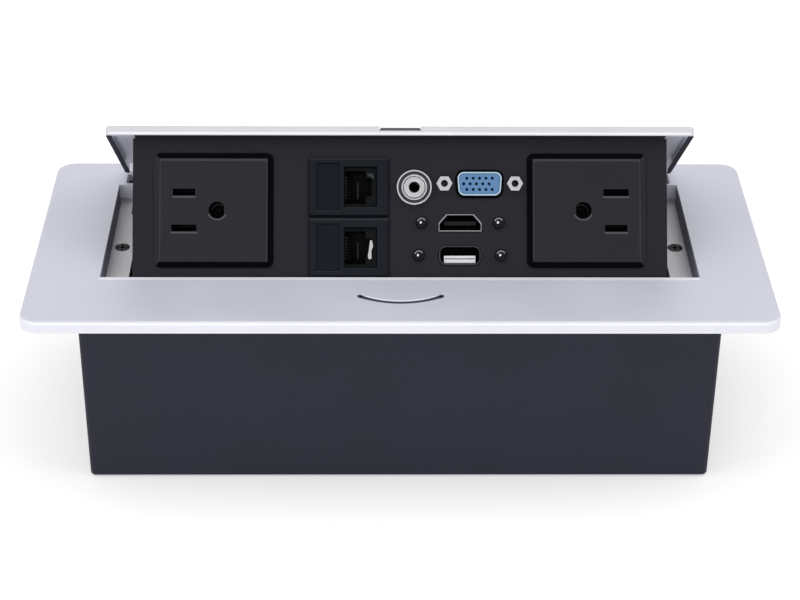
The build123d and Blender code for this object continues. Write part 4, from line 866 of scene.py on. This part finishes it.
# Painted highlight on the lid's lower front edge, and a dark pad of painted shade in its finger
# notch
LID_LINE_INSET = 1.0
LID_LINE_WIDTH = 0.8
LID_LINE_RISE = 0.7
PAD_SIZE = (14.0, 3.0)
PAD_FRONT = 1.3
PAD_RISE = 1.66
PAD_THICK = 1.4
PAD_EDGE = 0.1


def add_lid_line():
    """Painted highlight along the foot of the lid's front edge"""
    start = lid_place(LID_FRONT, LID_UNDER - LID_LINE_RISE)
    line = film(rectangle(2 * (LID_HALF - LID_LINE_INSET), LID_LINE_WIDTH), start, LID_FRONT_PLANE)
    add_piece("lid_line", line, "popup", PAINTED_HIGHLIGHT)


def add_notch_shade():
    """Dark pad of painted shade on the floor of the finger notch"""
    start = lid_place(LID_FRONT + PAD_FRONT + PAD_SIZE[1] / 2, LID_UNDER - PAD_RISE)
    pad = prism(rectangle(*PAD_SIZE), start, NOTCH_PLANE, PAD_THICK, PAD_EDGE)
    add_piece("notch_pad", pad, "popup", NOTCH)


add_lid_line()
add_notch_shade()

# Painted highlight rims and glints on the blackened port screws, and a painted shade line on the
# USB tongue
SCREW_RIM = {"inner": 1.25, "outer": 1.7, "first": 30, "last": 160}
SPARK_RADIUS = 0.42
SPARK_PLACE = ACROSS * -0.3 + PANEL_UP * 0.1
SAME_FRONT = 0.02 * MM
ROW_DIGITS = 4
SHADE_LINE_SIZE = (10.6, 0.45)
SHADE_LINE_RISE = 0.25


def loose_parts(mesh):
    """The points of each loose part of a bmesh"""
    left = set(mesh.verts)
    while left:
        part = [left.pop()]
        for vert in part:
            for edge in vert.link_edges:
                other = edge.other_vert(vert)
                if other in left:
                    left.remove(other)
                    part.append(other)
        yield part


def loose_fronts(name):
    """Middle of the foremost points of each loose part of a node"""
    mesh = welded_copy(name)
    fronts = []
    for part in loose_parts(mesh):
        reach = max(vert.co.dot(PANEL_OUT) for vert in part)
        top = [vert.co for vert in part if reach - vert.co.dot(PANEL_OUT) < SAME_FRONT]
        low = Vector([min(point[axis] for point in top) for axis in range(3)])
        high = Vector([max(point[axis] for point in top) for axis in range(3)])
        fronts.append((low + high) / 2)
    mesh.free()
    return sorted(fronts, key=lambda point: (round(point.z, ROW_DIGITS), point.x))


def add_screw_light(number, top):
    """Painted highlight on the rim, and painted glint, of one port screw"""
    rim = film(crescent(**SCREW_RIM), top, PANEL_PLANE)
    add_piece(f"screw_rim_{number}", rim, "popup", SHELL_AND_PAINTED_LIGHT)
    spark = film(disc(SPARK_RADIUS), top + SPARK_PLACE * MM, PANEL_PLANE)
    add_piece(f"screw_spark_{number}", spark, "popup", CHROME_AND_GLINT)


def add_tongue_shade_line():
    """Painted shade line along the front of the USB socket's tongue"""
    place = loose_fronts("usb_tongue")[0] + PANEL_UP * SHADE_LINE_RISE * MM
    gap = film(rectangle(*SHADE_LINE_SIZE), place, PANEL_PLANE)
    add_piece("usb_tongue_gap", gap, "popup", SHELL_AND_PAINTED_LIGHT)


for number, top in enumerate(loose_fronts("port_screws"), start=1):
    add_screw_light(number, top)
add_tongue_shade_line()

# Floor, background and lamps
FLOOR_HALF = 6.0
FLOOR_DROP = 0.3 * MM
FLOOR_COLOUR = (0.8, 0.8, 0.8, 1)
FLOOR_GLOW = 0.35
WORLD_FILL = 0.4
LAMP_AIM = Vector((0, 0, 0.06))
LAMPS = {
    "overhead": ((0.0, 0.2, 1.3), (1.6, 1.2), 6.5),
    "front": ((-0.2, -1.5, 0.4), (1.6, 0.5), 12.0),
    "left": ((-1.0, -0.3, 1.0), (0.9, 0.9), 4.5),
    "right": ((1.0, -0.2, 1.0), (0.9, 0.9), 4.5),
}


def add_seen(tree):
    """1 for what the camera sees, directly or mirrored, and 0 for light that falls elsewhere"""
    path = add_node(tree, "ShaderNodeLightPath")
    seen = add_node(tree, "ShaderNodeMath", operation="MAXIMUM")
    tree.links.new(path.outputs["Is Camera Ray"], seen.inputs[0])
    tree.links.new(path.outputs["Is Glossy Ray"], seen.inputs[1])
    return seen.outputs["Value"]


def floor_material():
    """Matt white that glows a little where it is seen"""
    material = bpy.data.materials.new("floor")
    tree = empty_tree(material)
    link = tree.links.new
    output = add_node(tree, "ShaderNodeOutputMaterial")
    matt = add_node(tree, "ShaderNodeBsdfDiffuse", {"Color": FLOOR_COLOUR})
    glow = add_node(tree, "ShaderNodeEmission", {"Color": (1, 1, 1, 1)})
    amount = add_node(tree, "ShaderNodeMath", {1: FLOOR_GLOW}, "MULTIPLY")
    total = add_node(tree, "ShaderNodeAddShader")
    link(add_seen(tree), amount.inputs[0])
    link(amount.outputs["Value"], glow.inputs["Strength"])
    link(matt.outputs["BSDF"], total.inputs[0])
    link(glow.outputs["Emission"], total.inputs[1])
    link(total.outputs["Shader"], output.inputs["Surface"])
    return material


def add_floor():
    """Plain white floor"""
    data = bpy.data.meshes.new("floor")
    corners = [(x, y, 0) for x, y in rectangle(2 * FLOOR_HALF, 2 * FLOOR_HALF)]
    data.from_pydata(corners, [], [(0, 1, 2, 3)])
    floor = bpy.data.objects.new("floor", data)
    floor.location.z = -FLOOR_DROP
    bpy.context.scene.collection.objects.link(floor)
    data.materials.append(floor_material())


def add_world():
    """White where the camera looks, soft grey light on everything else"""
    world = bpy.data.worlds.new("world")
    bpy.context.scene.world = world
    tree = empty_tree(world)
    output = add_node(tree, "ShaderNodeOutputWorld")
    back = add_node(tree, "ShaderNodeBackground", {"Color": (1, 1, 1, 1)})
    strength = add_node(tree, "ShaderNodeMapRange", {"To Min": WORLD_FILL, "To Max": 1.0})
    tree.links.new(add_seen(tree), strength.inputs["Value"])
    tree.links.new(strength.outputs["Result"], back.inputs["Strength"])
    tree.links.new(back.outputs["Background"], output.inputs["Surface"])


def add_lamp(name, place, size, power):
    """Soft rectangular lamp aimed at the middle of the object"""
    data = bpy.data.lights.new(name, "AREA")
    data.shape = "RECTANGLE"
    data.size, data.size_y = size
    data.energy = power
    lamp = bpy.data.objects.new(name, data)
    lamp.location = place
    lamp.rotation_euler = (LAMP_AIM - Vector(place)).to_track_quat("-Z", "Y").to_euler()
    bpy.context.scene.collection.objects.link(lamp)


add_camera()
add_floor()
add_world()
for name, (place, size, power) in LAMPS.items():
    add_lamp(name, place, size, power)
bpy.context.scene.view_settings.view_transform = "Standard"
